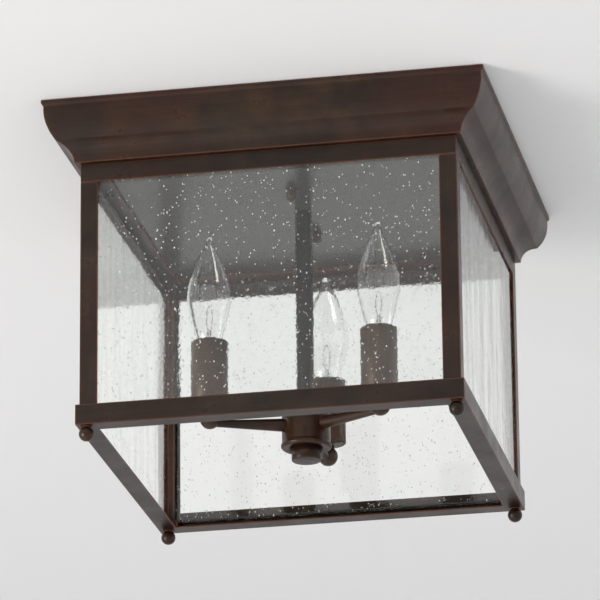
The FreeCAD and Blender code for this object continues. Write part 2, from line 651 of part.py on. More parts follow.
def leads():
    """Twin lead of each lamp: socket, cup, arm, hub, then up the rod to the splice cap."""
    tubes = []
    top = -size("well_drop")
    for name in ARMS:
        angle = math.radians(ARMS[name] + size("cluster_twist"))
        out = V(math.cos(angle), math.sin(angle), 0)
        slope = (size("arm_end_drop") - size("arm_hub_drop")) / size("candle_circle")
        hub_z = -size("arm_hub_drop") - slope * size("lead_offset")
        points = [out * size("candle_circle") + V(0, 0, top),
                  out * size("candle_circle") + V(0, 0, -size("arm_end_drop")),
                  out * size("lead_offset") + V(0, 0, hub_z),
                  out * size("lead_offset") + V(0, 0, -size("splice_drop"))]
        tubes.append(bent_tube(points, [size("lead_cup_bend"), size("lead_hub_bend")], size("lead_radius")))
    feature("lamp_leads", Part.makeCompound(tubes))
    body = disc("splice_radius", "-splice_drop", "splice_height * 0.7")
    nose = bind(add("Part::Cone", "nose"), Radius1="splice_radius", Radius2="splice_radius * 0.6",
                Height="splice_height * 0.3", z="-splice_drop + splice_height * 0.7")
    node(fuse(body, nose), "splice_cap")


# ---------------------------------------------------------------- build, check and write

def check():
    """Stop on any failed object or bad shape before anything is written."""
    bad = [obj.Label for obj in doc.Objects if "Invalid" in obj.State or "Error" in obj.State]
    if bad:
        raise RuntimeError("failed objects: " + ", ".join(bad))
    for obj in nodes:
        shape = obj.Shape
        if shape.isNull() or not shape.isValid() or not shape.Solids:
            raise RuntimeError("bad shape: " + obj.Label)
    names = [obj.Label for obj in nodes]
    if len(set(names)) != len(names):
        raise RuntimeError("a node name is used twice")


def write():
    os.makedirs("parts", exist_ok=True)
    for obj in nodes:
        obj.Shape.exportStep("parts/%s.step" % obj.Label)
    print("nodes written: %d" % len(nodes))


def main():
    canopy_shell()
    pan_plate()
    crossbar()
    hanging_hardware()
    rails()
    posts()
    panes()
    frame_screws()
    finials()
    stem()
    hub()
    arms()
    cups()
    sockets()
    bulbs()
    leads()
    doc.recompute()
    check()
    write()


main()
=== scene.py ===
"""Looks of the porch ceiling lantern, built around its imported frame.  Metres, +Z up."""
from __future__ import annotations

import json
import logging
import math
import random
from dataclasses import dataclass, field
from enum import Enum
from typing import Callable, Sequence

import bmesh
import bpy
from mathutils import Matrix, Vector

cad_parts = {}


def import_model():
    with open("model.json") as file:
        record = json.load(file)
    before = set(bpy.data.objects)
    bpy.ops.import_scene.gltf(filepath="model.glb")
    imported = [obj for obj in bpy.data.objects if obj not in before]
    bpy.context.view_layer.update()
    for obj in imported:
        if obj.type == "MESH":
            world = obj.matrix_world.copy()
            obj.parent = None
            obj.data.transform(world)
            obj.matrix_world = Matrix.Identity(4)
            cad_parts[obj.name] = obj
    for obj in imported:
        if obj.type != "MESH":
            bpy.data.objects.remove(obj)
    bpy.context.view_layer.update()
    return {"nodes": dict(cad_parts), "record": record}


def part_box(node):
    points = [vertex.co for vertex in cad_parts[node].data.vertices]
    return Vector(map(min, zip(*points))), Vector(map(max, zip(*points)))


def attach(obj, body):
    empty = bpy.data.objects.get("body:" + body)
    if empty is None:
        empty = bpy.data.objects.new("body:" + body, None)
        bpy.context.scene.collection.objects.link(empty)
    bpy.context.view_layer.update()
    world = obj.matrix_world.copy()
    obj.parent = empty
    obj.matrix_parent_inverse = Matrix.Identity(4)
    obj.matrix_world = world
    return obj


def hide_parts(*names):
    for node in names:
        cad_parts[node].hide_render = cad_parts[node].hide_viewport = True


MM = 0.001
ROOT = "root"
CAMERA_PLACE = Vector((0.6354, -3.2933, -1.2790))
CAMERA_AIM = Vector((-0.0030, -0.0030, -0.1090))
CAMERA_ROLL = math.radians(-0.565)
CAMERA_LENS = 293.67
TURN = 2 * math.pi

Tree = bpy.types.NodeTree
Socket = bpy.types.NodeSocket

log = logging.getLogger("lantern")


class Slot(Enum):
    """Material slots of the record that the pieces take their finish from."""

    BRONZE = "bronze_paint"
    PAN = "pan_paint"
    PANE = "seeded_glass"
    BULB = "bulb_glass"
    BRASS = "bulb_brass"
    RESIN = "socket_resin"
    ZINC = "zinc_steel"
    GREEN = "green_steel"
    LEAD = "lead_jacket"
    NYLON = "nylon"


class Side(Enum):
    """The four sides of the lantern, each with the way that it faces."""

    FRONT = (0, -1)
    RIGHT = (1, 0)
    REAR = (0, 1)
    LEFT = (-1, 0)


# ------------------------------------------------------------------ small helpers

def linear(code: str) -> tuple[float, float, float, float]:
    """Turn an sRGB hex value into a linear colour.

    Args:
        code: Six hex digits.

    Returns:
        Red, green, blue and alpha.
    """
    values = [int(code[i:i + 2], 16) / 255 for i in (0, 2, 4)]
    bent = [v / 12.92 if v <= 0.04045 else ((v + 0.055) / 1.055) ** 2.4 for v in values]
    return (bent[0], bent[1], bent[2], 1.0)


def add_node(tree: Tree, kind: str, links: dict | None = None, **settings) -> bpy.types.Node:
    """Add a node with its settings, values and links.

    Args:
        tree: The node tree to add to.
        kind: The node's type name.
        links: Input name or index to a value, or to the output socket that feeds it.
        settings: Attributes of the node.

    Returns:
        The new node.
    """
    made = tree.nodes.new(kind)
    for name, value in settings.items():
        setattr(made, name, value)
    for name, value in (links or {}).items():
        if isinstance(value, bpy.types.NodeSocket):
            tree.links.new(value, made.inputs[name])
        else:
            made.inputs[name].default_value = value
    return made


def new_material(name: str) -> tuple[bpy.types.Material, Tree]:
    """Make an empty node material.

    Args:
        name: Name of the material.

    Returns:
        The material and its node tree.
    """
    material = bpy.data.materials.new(name)
    material.use_nodes = True
    material.node_tree.nodes.clear()
    return material, material.node_tree


def finish_material(tree: Tree, shader: Socket) -> None:
    """Lead a shader to the material's output."""
    add_node(tree, "ShaderNodeOutputMaterial", {"Surface": shader})


def link_mesh(name: str, mesh: bpy.types.Mesh) -> bpy.types.Object:
    """Put a mesh in the scene as an object at the origin.

    Args:
        name: Name of the object.
        mesh: Its mesh.

    Returns:
        The object.
    """
    obj = bpy.data.objects.new(name, mesh)
    bpy.context.scene.collection.objects.link(obj)
    return obj


def from_bmesh(name: str, bm: bmesh.types.BMesh, smooth: bool = True) -> bpy.types.Object:
    """Turn a bmesh into an object with welded points and faces that point outwards.

    Args:
        name: Name of the object.
        bm: The mesh, which is freed.
        smooth: Whether its faces are shaded smooth.

    Returns:
        The new object.
    """
    bmesh.ops.remove_doubles(bm, verts=bm.verts, dist=1e-7)
    bmesh.ops.recalc_face_normals(bm, faces=bm.faces)
    mesh = bpy.data.meshes.new(name)
    bm.to_mesh(mesh)
    bm.free()
    for polygon in mesh.polygons:
        polygon.use_smooth = smooth
    return link_mesh(name, mesh)


def bridge(bm: bmesh.types.BMesh, rings: Sequence[Sequence[bmesh.types.BMVert]], closed: bool = False
           ) -> None:
    """Join rings of points by faces, each to the next.

    Args:
        bm: The mesh.
        rings: Rings of equally many points. A ring on an axis repeats one point.
        closed: Whether the last ring joins the first.
    """
    count = len(rings)
    for index in range(count if closed else count - 1):
        lower, upper = rings[index], rings[(index + 1) % count]
        for i in range(len(lower)):
            j = (i + 1) % len(lower)
            corners = list(dict.fromkeys((lower[i], lower[j], upper[j], upper[i])))
            if len(corners) > 2:
                bm.faces.new(corners)


def flat_sheet(name: str, corners: Sequence[Sequence[float]]) -> bpy.types.Object:
    """Make an object of one flat face.

    Args:
        name: Name of the object.
        corners: Its corners, anticlockwise as seen from its face.

    Returns:
        The object.
    """
    bm = bmesh.new()
    bm.faces.new([bm.verts.new(corner) for corner in corners])
    mesh = bpy.data.meshes.new(name)
    bm.to_mesh(mesh)
    bm.free()
    return link_mesh(name, mesh)


def bake_modifiers(obj: bpy.types.Object) -> bpy.types.Object:
    """Replace an object's mesh by what its modifiers give, and remove them.

    Args:
        obj: The object.

    Returns:
        The same object with a plain mesh.
    """
    graph = bpy.context.evaluated_depsgraph_get()
    mesh = bpy.data.meshes.new_from_object(obj.evaluated_get(graph), depsgraph=graph)
    obj.modifiers.clear()
    obj.data = mesh
    return obj


def bevelled(obj: bpy.types.Object, width: float, segments: int = 3, angle: float = 28.0
             ) -> bpy.types.Object:
    """Round the sharp edges of a piece.

    Args:
        obj: The piece.
        width: Width of the rounding in metres.
        segments: Number of faces across the rounding.
        angle: Least angle in degrees of an edge that is rounded.

    Returns:
        The same object with a plain mesh.
    """
    bevel = obj.modifiers.new("bevel", "BEVEL")
    bevel.width = width
    bevel.segments = segments
    bevel.limit_method = "ANGLE"
    bevel.angle_limit = math.radians(angle)
    bevel.harden_normals = True
    return bake_modifiers(obj)


def dress(obj: bpy.types.Object, material: bpy.types.Material, body: str = ROOT,
          replaces: Sequence[str] = ()) -> bpy.types.Object:
    """Give a piece its finish, its body and the frame nodes that it stands for.

    Args:
        obj: The piece.
        material: Its finish.
        body: The body that it moves with.
        replaces: The frame nodes that it takes the place of.

    Returns:
        The same piece.
    """
    obj.data.materials.clear()
    obj.data.materials.append(material)
    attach(obj, body)
    if replaces:
        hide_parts(*replaces)
    log.info("piece %s rides on %s", obj.name, body)
    return obj


def lathe(name: str, profile: Sequence[tuple[float, float]], centre: Sequence[float], steps: int = 64,
          closed: bool = False) -> bpy.types.Object:
    """Turn a profile about an upright axis.

    Args:
        name: Name of the object.
        profile: Points (radius, height) in metres, from one end to the other.
        centre: The axis in x and y.
        steps: Number of facets round the axis.
        closed: Whether the profile is a loop, as a tube's is, instead of ending on the axis.

    Returns:
        The turned object.
    """
    bm = bmesh.new()
    rings = []
    for radius, height in profile:
        if radius < 1e-9:
            rings.append([bm.verts.new((centre[0], centre[1], height))] * steps)
            continue
        ring = [bm.verts.new((centre[0] + radius * math.cos(TURN * i / steps),
                              centre[1] + radius * math.sin(TURN * i / steps), height)) for i in range(steps)]
        rings.append(ring)
    bridge(bm, rings, closed)
    return from_bmesh(name, bm)


def tube_profile(outer: float, inner: float, low: float, high: float, lip: float
                 ) -> list[tuple[float, float]]:
    """Closed profile of a plain tube whose end edges are broken by a small lip."""
    return [(inner + lip, low), (outer - lip, low), (outer, low + lip), (outer, high - lip),
            (outer - lip, high), (inner + lip, high), (inner, high - lip), (inner, low + lip)]


def arc(centre: tuple[float, float], radius: float, start: float, end: float, count: int
        ) -> list[tuple[float, float]]:
    """Points of an arc in a profile, from one angle in degrees to another."""
    turns = [math.radians(start + (end - start) * i / count) for i in range(count + 1)]
    return [(centre[0] + radius * math.cos(t), centre[1] + radius * math.sin(t)) for t in turns]


def mitred_ring(name: str, profile: Sequence[tuple[float, float]]) -> bpy.types.Object:
    """Run a closed profile round a square with mitred corners.

    Args:
        name: Name of the object.
        profile: Points (half width, height) in metres, in order round the loop.

    Returns:
        The ring.
    """
    bm = bmesh.new()
    corners = [(-1, -1), (1, -1), (1, 1), (-1, 1)]
    bridge(bm, [[bm.verts.new((sx * half, sy * half, z)) for half, z in profile] for sx, sy in corners], True)
    return from_bmesh(name, bm)


def extruded(name: str, outline: Sequence[tuple[float, float]], low: float, high: float) -> bpy.types.Object:
    """Stand a flat outline up between two heights.

    Args:
        name: Name of the object.
        outline: Points in x and y, in order round the outline.
        low: Height of the lower face.
        high: Height of the upper face.

    Returns:
        The solid.
    """
    bm = bmesh.new()
    bottom = [bm.verts.new((x, y, low)) for x, y in outline]
    top = [bm.verts.new((x, y, high)) for x, y in outline]
    bm.faces.new(bottom)
    bm.faces.new(top)
    bridge(bm, [bottom, top])
    return from_bmesh(name, bm)


def wire(name: str, points: Sequence[Vector], radius: Callable[[float], float], sides: int = 10
         ) -> bpy.types.Object:
    """A round solid along a line of points.

    Args:
        name: Name of the object.
        points: The middle line.
        radius: Radius for a share of the way along, from 0 to 1.
        sides: Number of facets round the solid.

    Returns:
        The solid, closed at both ends.
    """
    bm = bmesh.new()
    rings = []
    across = Vector((0, 0, 1))
    for index, point in enumerate(points):
        before = points[max(index - 1, 0)]
        after = points[min(index + 1, len(points) - 1)]
        way = (after - before).normalized()
        if abs(way.dot(across)) > 0.95:
            across = Vector((1, 0, 0)) if abs(way.x) < 0.9 else Vector((0, 1, 0))
        side = way.cross(across).normalized()
        across = side.cross(way).normalized()
        size = radius(index / (len(points) - 1))
        turns = [TURN * i / sides for i in range(sides)]
        rings.append([bm.verts.new(point + (side * math.cos(t) + across * math.sin(t)) * size)
                      for t in turns])
    bridge(bm, rings)
    bm.faces.new(rings[0])
    bm.faces.new(rings[-1])
    return from_bmesh(name, bm)


def joined(name: str, objects: Sequence[bpy.types.Object]) -> bpy.types.Object:
    """Put several pieces into one object.

    Args:
        name: Name of the object.
        objects: The pieces, which are removed.

    Returns:
        The joined object.
    """
    bm = bmesh.new()
    for obj in objects:
        bm.from_mesh(obj.data)
        mesh = obj.data
        bpy.data.objects.remove(obj)
        bpy.data.meshes.remove(mesh)
    mesh = bpy.data.meshes.new(name)
    bm.to_mesh(mesh)
    bm.free()
    for polygon in mesh.polygons:
        polygon.use_smooth = True
    return link_mesh(name, mesh)


def middle(node: str) -> Vector:
    """Middle of a frame node's box."""
    low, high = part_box(node)
    return (Vector(low) + Vector(high)) / 2


# ------------------------------------------------------------------ finishes

def object_place(tree: Tree) -> Socket:
    """Place on the object in its own metres, which the patterns read."""
    return add_node(tree, "ShaderNodeTexCoord").outputs["Object"]


def noise(tree: Tree, place: Socket, size: float, detail: float, roughness: float = 0.5) -> Socket:
    """Noise about 0.5 whose broadest forms have a size in the units of place."""
    return add_node(tree, "ShaderNodeTexNoise", {"Vector": place, "Scale": 1 / size, "Detail": detail,
                                                 "Roughness": roughness}).outputs["Fac"]


def remap(tree: Tree, value: Socket, low: float, high: float, to_low: float = 0.0, to_high: float = 1.0
          ) -> Socket:
    """Stretch a value from one range to another, held at its ends."""
    return add_node(tree, "ShaderNodeMapRange", {"Value": value, "From Min": low, "From Max": high,
                                                 "To Min": to_low, "To Max": to_high}).outputs["Result"]


def blend(tree: Tree, share: Socket, first: Socket | tuple, second: Socket | tuple) -> Socket:
    """Mix two colours by the share of the second."""
    return add_node(tree, "ShaderNodeMix", {"Factor": share, "A": first, "B": second},
                    data_type="RGBA").outputs["Result"]


def blend_shaders(tree: Tree, share: Socket, first: Socket, second: Socket) -> Socket:
    """Mix two shaders by the share of the second."""
    return add_node(tree, "ShaderNodeMixShader", {0: share, 1: first, 2: second}).outputs[0]


def relief(tree: Tree, height: Socket, strength: float, distance: float, under: Socket | None = None
           ) -> Socket:
    """Bump of a surface.

    Args:
        tree: The material's node tree.
        height: The height pattern.
        strength: Share of the bump that shows.
        distance: Height in metres at a value of 1.
        under: Normal of a broader bump that this one lies on.

    Returns:
        The bumped normal.
    """
    links = {"Height": height, "Strength": strength, "Distance": distance}
    if under is not None:
        links["Normal"] = under
    return add_node(tree, "ShaderNodeBump", links).outputs["Normal"]


def edge_mask(tree: Tree, width: float) -> Socket:
    """Mask that is bright along convex edges, where a hand-rubbed finish wears through.

    Args:
        tree: The material's node tree.
        width: Reach of the mask from an edge, in metres.

    Returns:
        A value from 0 on the flats to 1 on the edges.
    """
    round_normal = add_node(tree, "ShaderNodeBevel", {"Radius": width}, samples=6)
    flat = add_node(tree, "ShaderNodeNewGeometry")
    dot = add_node(tree, "ShaderNodeVectorMath", {0: round_normal.outputs[0], 1: flat.outputs["Normal"]},
                   operation="DOT_PRODUCT")
    return remap(tree, dot.outputs["Value"], 0.985, 0.88)


@dataclass(frozen=True)
class RubbedBronze:
    """Oil-rubbed bronze paint on steel: a brown satin coat in warm and dark drifts, worn at the edges."""

    name: str = "oil rubbed bronze paint"
    umber: str = "20160e"
    brown: str = "3b2a1a"
    russet: str = "34170d"
    rubbed: str = "8a5238"
    roughness: float = 0.31
    metallic: float = 0.10
    shine: float = 0.34
    wear: float = 0.75
    wear_width: float = 1.7 * MM
    cloud: float = 30 * MM
    drift: float = 150 * MM
    drift_shift: tuple[float, float, float] = (0.27, 0.05, 0.0)
    streak_long: float = 55 * MM
    streak_fine: float = 1.8 * MM
    upright: bool = False
    grain: float = 0.8 * MM
    grain_depth: float = 0.05 * MM

    def build(self) -> bpy.types.Material:
        """Make the material.

        Returns:
            Paint clouded in brown and umber, drifting to russet, streaked by the brush and worn at the edges.
        """
        material, tree = new_material(self.name)
        place = object_place(tree)
        cloud = noise(tree, place, self.cloud, 5.0, 0.6)
        shifted = add_node(tree, "ShaderNodeMapping", {"Vector": place, "Location": self.drift_shift})
        drift = noise(tree, shifted.outputs[0], self.drift, 2.0)
        along, fine = 1 / self.streak_long, 1 / self.streak_fine
        drawn = add_node(tree, "ShaderNodeMapping", {
            "Vector": place, "Scale": (fine, fine, along) if self.upright else (along, along, fine)})
        streak = noise(tree, drawn.outputs[0], 1.0, 3.0)
        speck = noise(tree, place, self.grain, 2.0)
        paint = blend(tree, remap(tree, cloud, 0.36, 0.64), linear(self.umber), linear(self.brown))
        warm = blend(tree, remap(tree, drift, 0.42, 0.60, 0.0, 0.75), paint, linear(self.russet))
        brushed = add_node(tree, "ShaderNodeVectorMath", {
            0: warm, "Scale": remap(tree, streak, 0.35, 0.65, 0.84, 1.16)}, operation="SCALE")
        worn = add_node(tree, "ShaderNodeMath", {0: edge_mask(tree, self.wear_width), 1: self.wear},
                        operation="MULTIPLY")
        shader = add_node(tree, "ShaderNodeBsdfPrincipled", {
            "Base Color": blend(tree, worn.outputs[0], brushed.outputs[0], linear(self.rubbed)),
            "Metallic": self.metallic, "Specular IOR Level": self.shine,
            "Roughness": remap(tree, cloud, 0.3, 0.7, self.roughness + 0.07, self.roughness - 0.05),
            "Normal": relief(tree, speck, 0.10, self.grain_depth)})
        finish_material(tree, shader.outputs[0])
        return material


@dataclass(frozen=True)
class PlainFinish:
    """A plated, moulded or painted surface: one base colour with a fine mottle, and a bump of its grain."""

    name: str
    colour: str
    shade: str
    metallic: float
    roughness: float
    patch: float = 8 * MM
    grain: float = 0.6 * MM
    grain_depth: float = 0.03 * MM

    def build(self) -> bpy.types.Material:
        """Make the material.

        Returns:
            An even surface that shifts a little in tone and catches the light on its grain.
        """
        material, tree = new_material(self.name)
        place = object_place(tree)
        shader = add_node(tree, "ShaderNodeBsdfPrincipled", {
            "Base Color": blend(tree, noise(tree, place, self.patch, 4.0), linear(self.colour),
                                linear(self.shade)),
            "Metallic": self.metallic, "Roughness": self.roughness,
            "Normal": relief(tree, noise(tree, place, self.grain, 2.0), 0.3, self.grain_depth)})
        finish_material(tree, shader.outputs[0])
        return material


def let_light_through(tree: Tree, shader: Socket, tint: str) -> Socket:
    """Let lamps and scattered light shine through clear glass instead of throwing a solid shadow.

    Args:
        tree: The material's node tree.
        shader: The glass as the eye sees it.
        tint: Colour of the light that gets through, in hex.

    Returns:
        The shader for every kind of ray.
    """
    path = add_node(tree, "ShaderNodeLightPath")
    unseen = add_node(tree, "ShaderNodeMath", {0: path.outputs["Is Shadow Ray"],
                                               1: path.outputs["Is Diffuse Ray"]}, operation="MAXIMUM")
    clear = add_node(tree, "ShaderNodeBsdfTransparent", {"Color": linear(tint)})
    return blend_shaders(tree, unseen.outputs[0], shader, clear.outputs[0])


@dataclass(frozen=True)
class SeededGlass:
    """Mouth-blown style restoration glass: clear soda-lime, uneven at a few millimetres, faintly green."""

    name: str = "seeded soda-lime glass"
    tint: str = "fdfffd"
    let_through: str = "fcfefc"
    ior: float = 1.5
    ripple: float = 2.3 * MM
    swell: float = 24 * MM
    depth: float = 0.022 * MM
    shine: float = 0.12

    def build(self) -> bpy.types.Material:
        """Make the material.

        Returns:
            Glass that makes straight edges behind it look ragged.
        """
        material, tree = new_material(self.name)
        place = object_place(tree)
        slow = relief(tree, noise(tree, place, self.swell, 1.0), 1.0, self.depth * 3)
        shader = add_node(tree, "ShaderNodeBsdfPrincipled", {
            "Base Color": linear(self.tint), "Roughness": 0.0, "IOR": self.ior, "Transmission Weight": 1.0,
            "Specular IOR Level": self.shine,
            "Normal": relief(tree, noise(tree, place, self.ripple, 2.0, 0.55), 1.0, self.depth, slow)})
        finish_material(tree, let_light_through(tree, shader.outputs[0], self.let_through))
        return material


@dataclass(frozen=True)
class GlassSeeds:
    """Air bubbles shut in the glass: they bend light the other way, and a share of painted white glint makes
    them look like white grains of salt.
    """

    name: str = "air bubbles in glass"
    white: str = "fbfbf8"
    let_through: str = "e8e8e8"
    air_in_glass: float = 1 / 1.5
    painted_glint: float = 0.55
    patch: float = 2.0 * MM

    def build(self) -> bpy.types.Material:
        """Make the material.

        Returns:
            Bubbles, some clear and some with a painted white glint.
        """
        material, tree = new_material(self.name)
        vary = noise(tree, object_place(tree), self.patch, 0.0)
        bend = add_node(tree, "ShaderNodeBsdfGlass", {"Color": (1.0, 1.0, 1.0, 1.0), "Roughness": 0.05,
                                                      "IOR": self.air_in_glass})
        # Painted glint: a share of white diffuse on the bubbles stands in for the light that their walls
        # catch.
        white = add_node(tree, "ShaderNodeBsdfDiffuse", {"Color": linear(self.white)})
        mix = blend_shaders(tree, remap(tree, vary, 0.35, 0.65, self.painted_glint * 0.4, self.painted_glint * 1.6),
                            bend.outputs[0], white.outputs[0])
        finish_material(tree, let_light_through(tree, mix, self.let_through))
        return material


@dataclass(frozen=True)
class ClearGlass:
    """Blown soda-lime glass of the bulbs: colourless, smooth and bright, with a slow wave in its wall."""

    name: str
    tint: str = "ffffff"
    let_through: str = "fafafa"
    ior: float = 1.5
    wave: float = 9 * MM
    depth: float = 0.02 * MM

    def build(self) -> bpy.types.Material:
        """Make the material.

        Returns:
            Clear glass with dark rims and narrow highlights.
        """
        material, tree = new_material(self.name)
        wave = noise(tree, object_place(tree), self.wave, 1.0)
        shader = add_node(tree, "ShaderNodeBsdfPrincipled", {
            "Base Color": linear(self.tint), "Roughness": 0.0, "IOR": self.ior, "Transmission Weight": 1.0,
            "Normal": relief(tree, wave, 0.5, self.depth)})
        finish_material(tree, let_light_through(tree, shader.outputs[0], self.let_through))
        return material


@dataclass(frozen=True)
class Finishes:
    """Every finish of the lantern, built once."""

    bronze: bpy.types.Material
    bronze_rail: bpy.types.Material
    bronze_post: bpy.types.Material
    bronze_dark: bpy.types.Material
    bronze_small: bpy.types.Material
    bronze_sleeve: bpy.types.Material
    pan: bpy.types.Material
    pane: bpy.types.Material
    pane_edge: bpy.types.Material
    seed: bpy.types.Material
    bulb: bpy.types.Material
    brass: bpy.types.Material
    solder: bpy.types.Material
    filament: bpy.types.Material
    resin: bpy.types.Material
    zinc: bpy.types.Material
    green: bpy.types.Material
    lead: bpy.types.Material
    nylon: bpy.types.Material

    @classmethod
    def build(cls) -> "Finishes":
        """Make all the materials.

        Returns:
            The finishes.
        """
        return cls(
            bronze=RubbedBronze().build(),
            bronze_rail=RubbedBronze("oil rubbed bronze paint on rails", "1b130c", "2e2116",
                                     "2a140c").build(),
            bronze_post=RubbedBronze("oil rubbed bronze paint, brushed upright", "1e150e", "35261a", "2e160d",
                                     upright=True).build(),
            # The stem's copy of the bronze paint is painted near black with little shine: a shaded copy that
            # paints in the shade inside the lantern.
            bronze_dark=RubbedBronze("dark oil rubbed bronze paint", "0d0b0a", "171311", "130d0b",
                                     shine=0.14, upright=True, wear=0.2).build(),
            bronze_small=RubbedBronze("oil rubbed bronze paint on small parts", "20170f", "302317", "2c180f",
                                      wear=0.0, cloud=9 * MM).build(),
            # The sleeves' copy of the bronze paint is painted lighter than the rest: a lit copy that paints
            # in the light falling on the sleeves.
            bronze_sleeve=RubbedBronze("oil rubbed bronze paint on sleeves", "36261a", "4e3b2b", "402819",
                                       roughness=0.42, upright=True, wear=0.3, drift=60 * MM).build(),
            pan=PlainFinish("dark bronze enamel", "4a4845", "343230", 0.3, 0.24, 30 * MM, 2.5 * MM).build(),
            pane=SeededGlass().build(),
            pane_edge=PlainFinish("ground edge of soda-lime glass", "2b3a2a", "3d5238", 0.0, 0.22,
                                  5 * MM).build(),
            seed=GlassSeeds().build(),
            bulb=ClearGlass("blown bulb glass").build(),
            brass=PlainFinish("rolled brass", "b8955a", "9c7a45", 1.0, 0.3).build(),
            solder=PlainFinish("tin solder", "a9a8a4", "8d8c88", 1.0, 0.35).build(),
            filament=PlainFinish("dulled nickel lead wire", "8d7f76", "6f645d", 1.0, 0.3).build(),
            resin=PlainFinish("moulded phenolic resin", "d9d4c6", "c9c3b4", 0.0, 0.5).build(),
            zinc=PlainFinish("zinc plated steel", "a5a7a8", "86888a", 1.0, 0.34).build(),
            green=PlainFinish("green plated steel", "1f6a35", "17522a", 0.8, 0.38).build(),
            lead=PlainFinish("flexible lead jacket", "1b1a1a", "252424", 0.0, 0.5).build(),
            nylon=PlainFinish("moulded nylon", "c9c8c2", "b9b8b2", 0.0, 0.45).build())


# ------------------------------------------------------------------ canopy

@dataclass
class Canopy:
    """Square crown-moulded canopy, with the domed nuts that hold the pan plate under it."""

    finishes: Finishes
    top_half: float = 158.7 * MM
    fillet_half: float = 157.2 * MM
    fillet_drop: float = 4.0 * MM
    ovolo_half: float = 150.0 * MM
    ovolo_drop: float = 27.6 * MM
    ovolo_bulge: float = 2.3 * MM
    foot_half: float = 139.0 * MM
    drop: float = 42.0 * MM
    cavetto_bulge: float = 2.4 * MM
    wall: float = 1.2 * MM
    opening: float = 122.0 * MM
    foot_rise: float = 1.5 * MM
    edge_round: float = 0.7 * MM
    arc_steps: int = 10
    nut_skirt: float = 2.4 * MM
    nut_flare: float = 0.25 * MM
    nut_edge: float = 0.3 * MM

    def bow(self, start: tuple[float, float], end: tuple[float, float], bulge: float, count: int
            ) -> list[tuple[float, float]]:
        """Points of a shallow arc between two points of the moulding.

        Args:
            start: First point.
            end: Last point.
            bulge: Height of the arc over its chord, positive to the left of the way along it.
            count: Number of steps.

        Returns:
            The points, both ends included.
        """
        first, last = Vector(start), Vector(end)
        chord = last - first
        side = Vector((-chord.y, chord.x)).normalized()
        points = []
        for i in range(count + 1):
            share = i / count
            lift = 4 * share * (1 - share) * bulge
            points.append(tuple(first + chord * share + side * lift))
        return points

    def outside(self, inward: float, upward: float) -> list[tuple[float, float]]:
        """Draw the moulding from its top edge down to its foot.

        Args:
            inward: How far the line is moved in.
            upward: How far it is moved up.

        Returns:
            The points (half width, height).
        """
        def at(half: float, drop: float) -> tuple[float, float]:
            """Place a point of the moulding, moved in and up."""
            return (half - inward, -drop + upward)

        fillet = at(self.fillet_half, self.fillet_drop)
        step = (self.top_half - inward, fillet[1] + self.top_half - self.fillet_half)
        ovolo_end = at(self.ovolo_half, self.ovolo_drop)
        foot = at(self.foot_half, self.drop - self.foot_rise)
        return ([(step[0], 0.0), step] + self.bow(fillet, ovolo_end, self.ovolo_bulge, self.arc_steps)
                + self.bow(ovolo_end, foot, -self.cavetto_bulge, self.arc_steps)[1:]
                + [(foot[0], -self.drop + upward)])

    def build(self) -> None:
        """Make and dress the canopy's pieces."""
        outer = self.outside(0.0, 0.0)
        inner = self.outside(self.wall, self.wall)
        flange = [(self.opening, -self.drop), (self.opening, -self.drop + self.wall)]
        shell = mitred_ring("canopy", outer + flange + inner[::-1])
        dress(bevelled(shell, self.edge_round), self.finishes.bronze, replaces=["canopy_shell"])
        self.cap_nuts()

    def cap_nuts(self) -> None:
        """Two domed nuts that hold the pan up to the studs."""
        low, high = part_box("cap_nuts")
        radius = (high[0] - low[0]) / 2
        nuts = []
        for sign in (-1, 1):
            place = (0.0, sign * (high[1] - radius))
            top = high[2]
            dome = arc((0.0, low[2] + radius), radius, -90, 0, 8)
            dome[0] = (0.0, low[2])
            skirt = radius + self.nut_flare
            profile = dome + [(radius, top - self.nut_skirt), (skirt, top - self.nut_skirt + self.nut_edge),
                              (skirt, top - self.nut_edge), (radius - 0.1 * MM, top), (0.0, top)]
            nuts.append(lathe("nut", profile, place, 36))
        dress(joined("domed_nuts", nuts), self.finishes.bronze_small, replaces=["cap_nuts"])


# ------------------------------------------------------------------ body of the lantern

@dataclass
class Body:
    """Rails, posts and base of the glazed body."""

    finishes: Finishes
    leg: float = 12.8 * MM
    base_leg: float = 14.2 * MM
    thick: float = 1.2 * MM
    edge_round: float = 0.45 * MM

    def ring(self, name: str, node: str, leg: float, flat_low: bool) -> None:
        """A mitred ring of angle in the place of a frame node.

        Args:
            name: Name of the piece.
            node: The frame node that it stands for.
            leg: Width of the flat leg.
            flat_low: Whether the flat leg is at the bottom.
        """
        low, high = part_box(node)
        half, bottom, top = high[0], low[2], high[2]
        inner, room = half - leg, half - self.thick
        if flat_low:
            profile = [(inner, bottom), (half, bottom), (half, top), (room, top),
                       (room, bottom + self.thick), (inner, bottom + self.thick)]
        else:
            profile = [(room, bottom), (half, bottom), (half, top), (inner, top),
                       (inner, top - self.thick), (room, top - self.thick)]
        dress(bevelled(mitred_ring(name, profile), self.edge_round), self.finishes.bronze_rail,
              replaces=[node])

    def post(self, node: str) -> None:
        """One corner post of angle.

        Args:
            node: The frame node that it stands for.
        """
        low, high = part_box(node)
        sx = 1 if high[0] > 0 else -1
        sy = 1 if high[1] > 0 else -1
        out_x, in_x = (high[0], low[0]) if sx > 0 else (low[0], high[0])
        out_y, in_y = (high[1], low[1]) if sy > 0 else (low[1], high[1])
        wall_x, wall_y = out_x - sx * self.thick, out_y - sy * self.thick
        outline = [(out_x, out_y), (in_x, out_y), (in_x, wall_y), (wall_x, wall_y), (wall_x, in_y),
                   (out_x, in_y)]
        piece = extruded("corner_" + node, outline, low[2], high[2])
        dress(bevelled(piece, self.edge_round), self.finishes.bronze_post, replaces=[node])

    def build(self) -> None:
        """Make and dress the rails and posts."""
        self.ring("top_rail", "top_frame", self.leg, False)
        self.ring("base_rail", "bottom_frame", self.base_leg, True)
        for node in ("post_front_left", "post_front_right", "post_rear_right", "post_rear_left"):
            self.post(node)


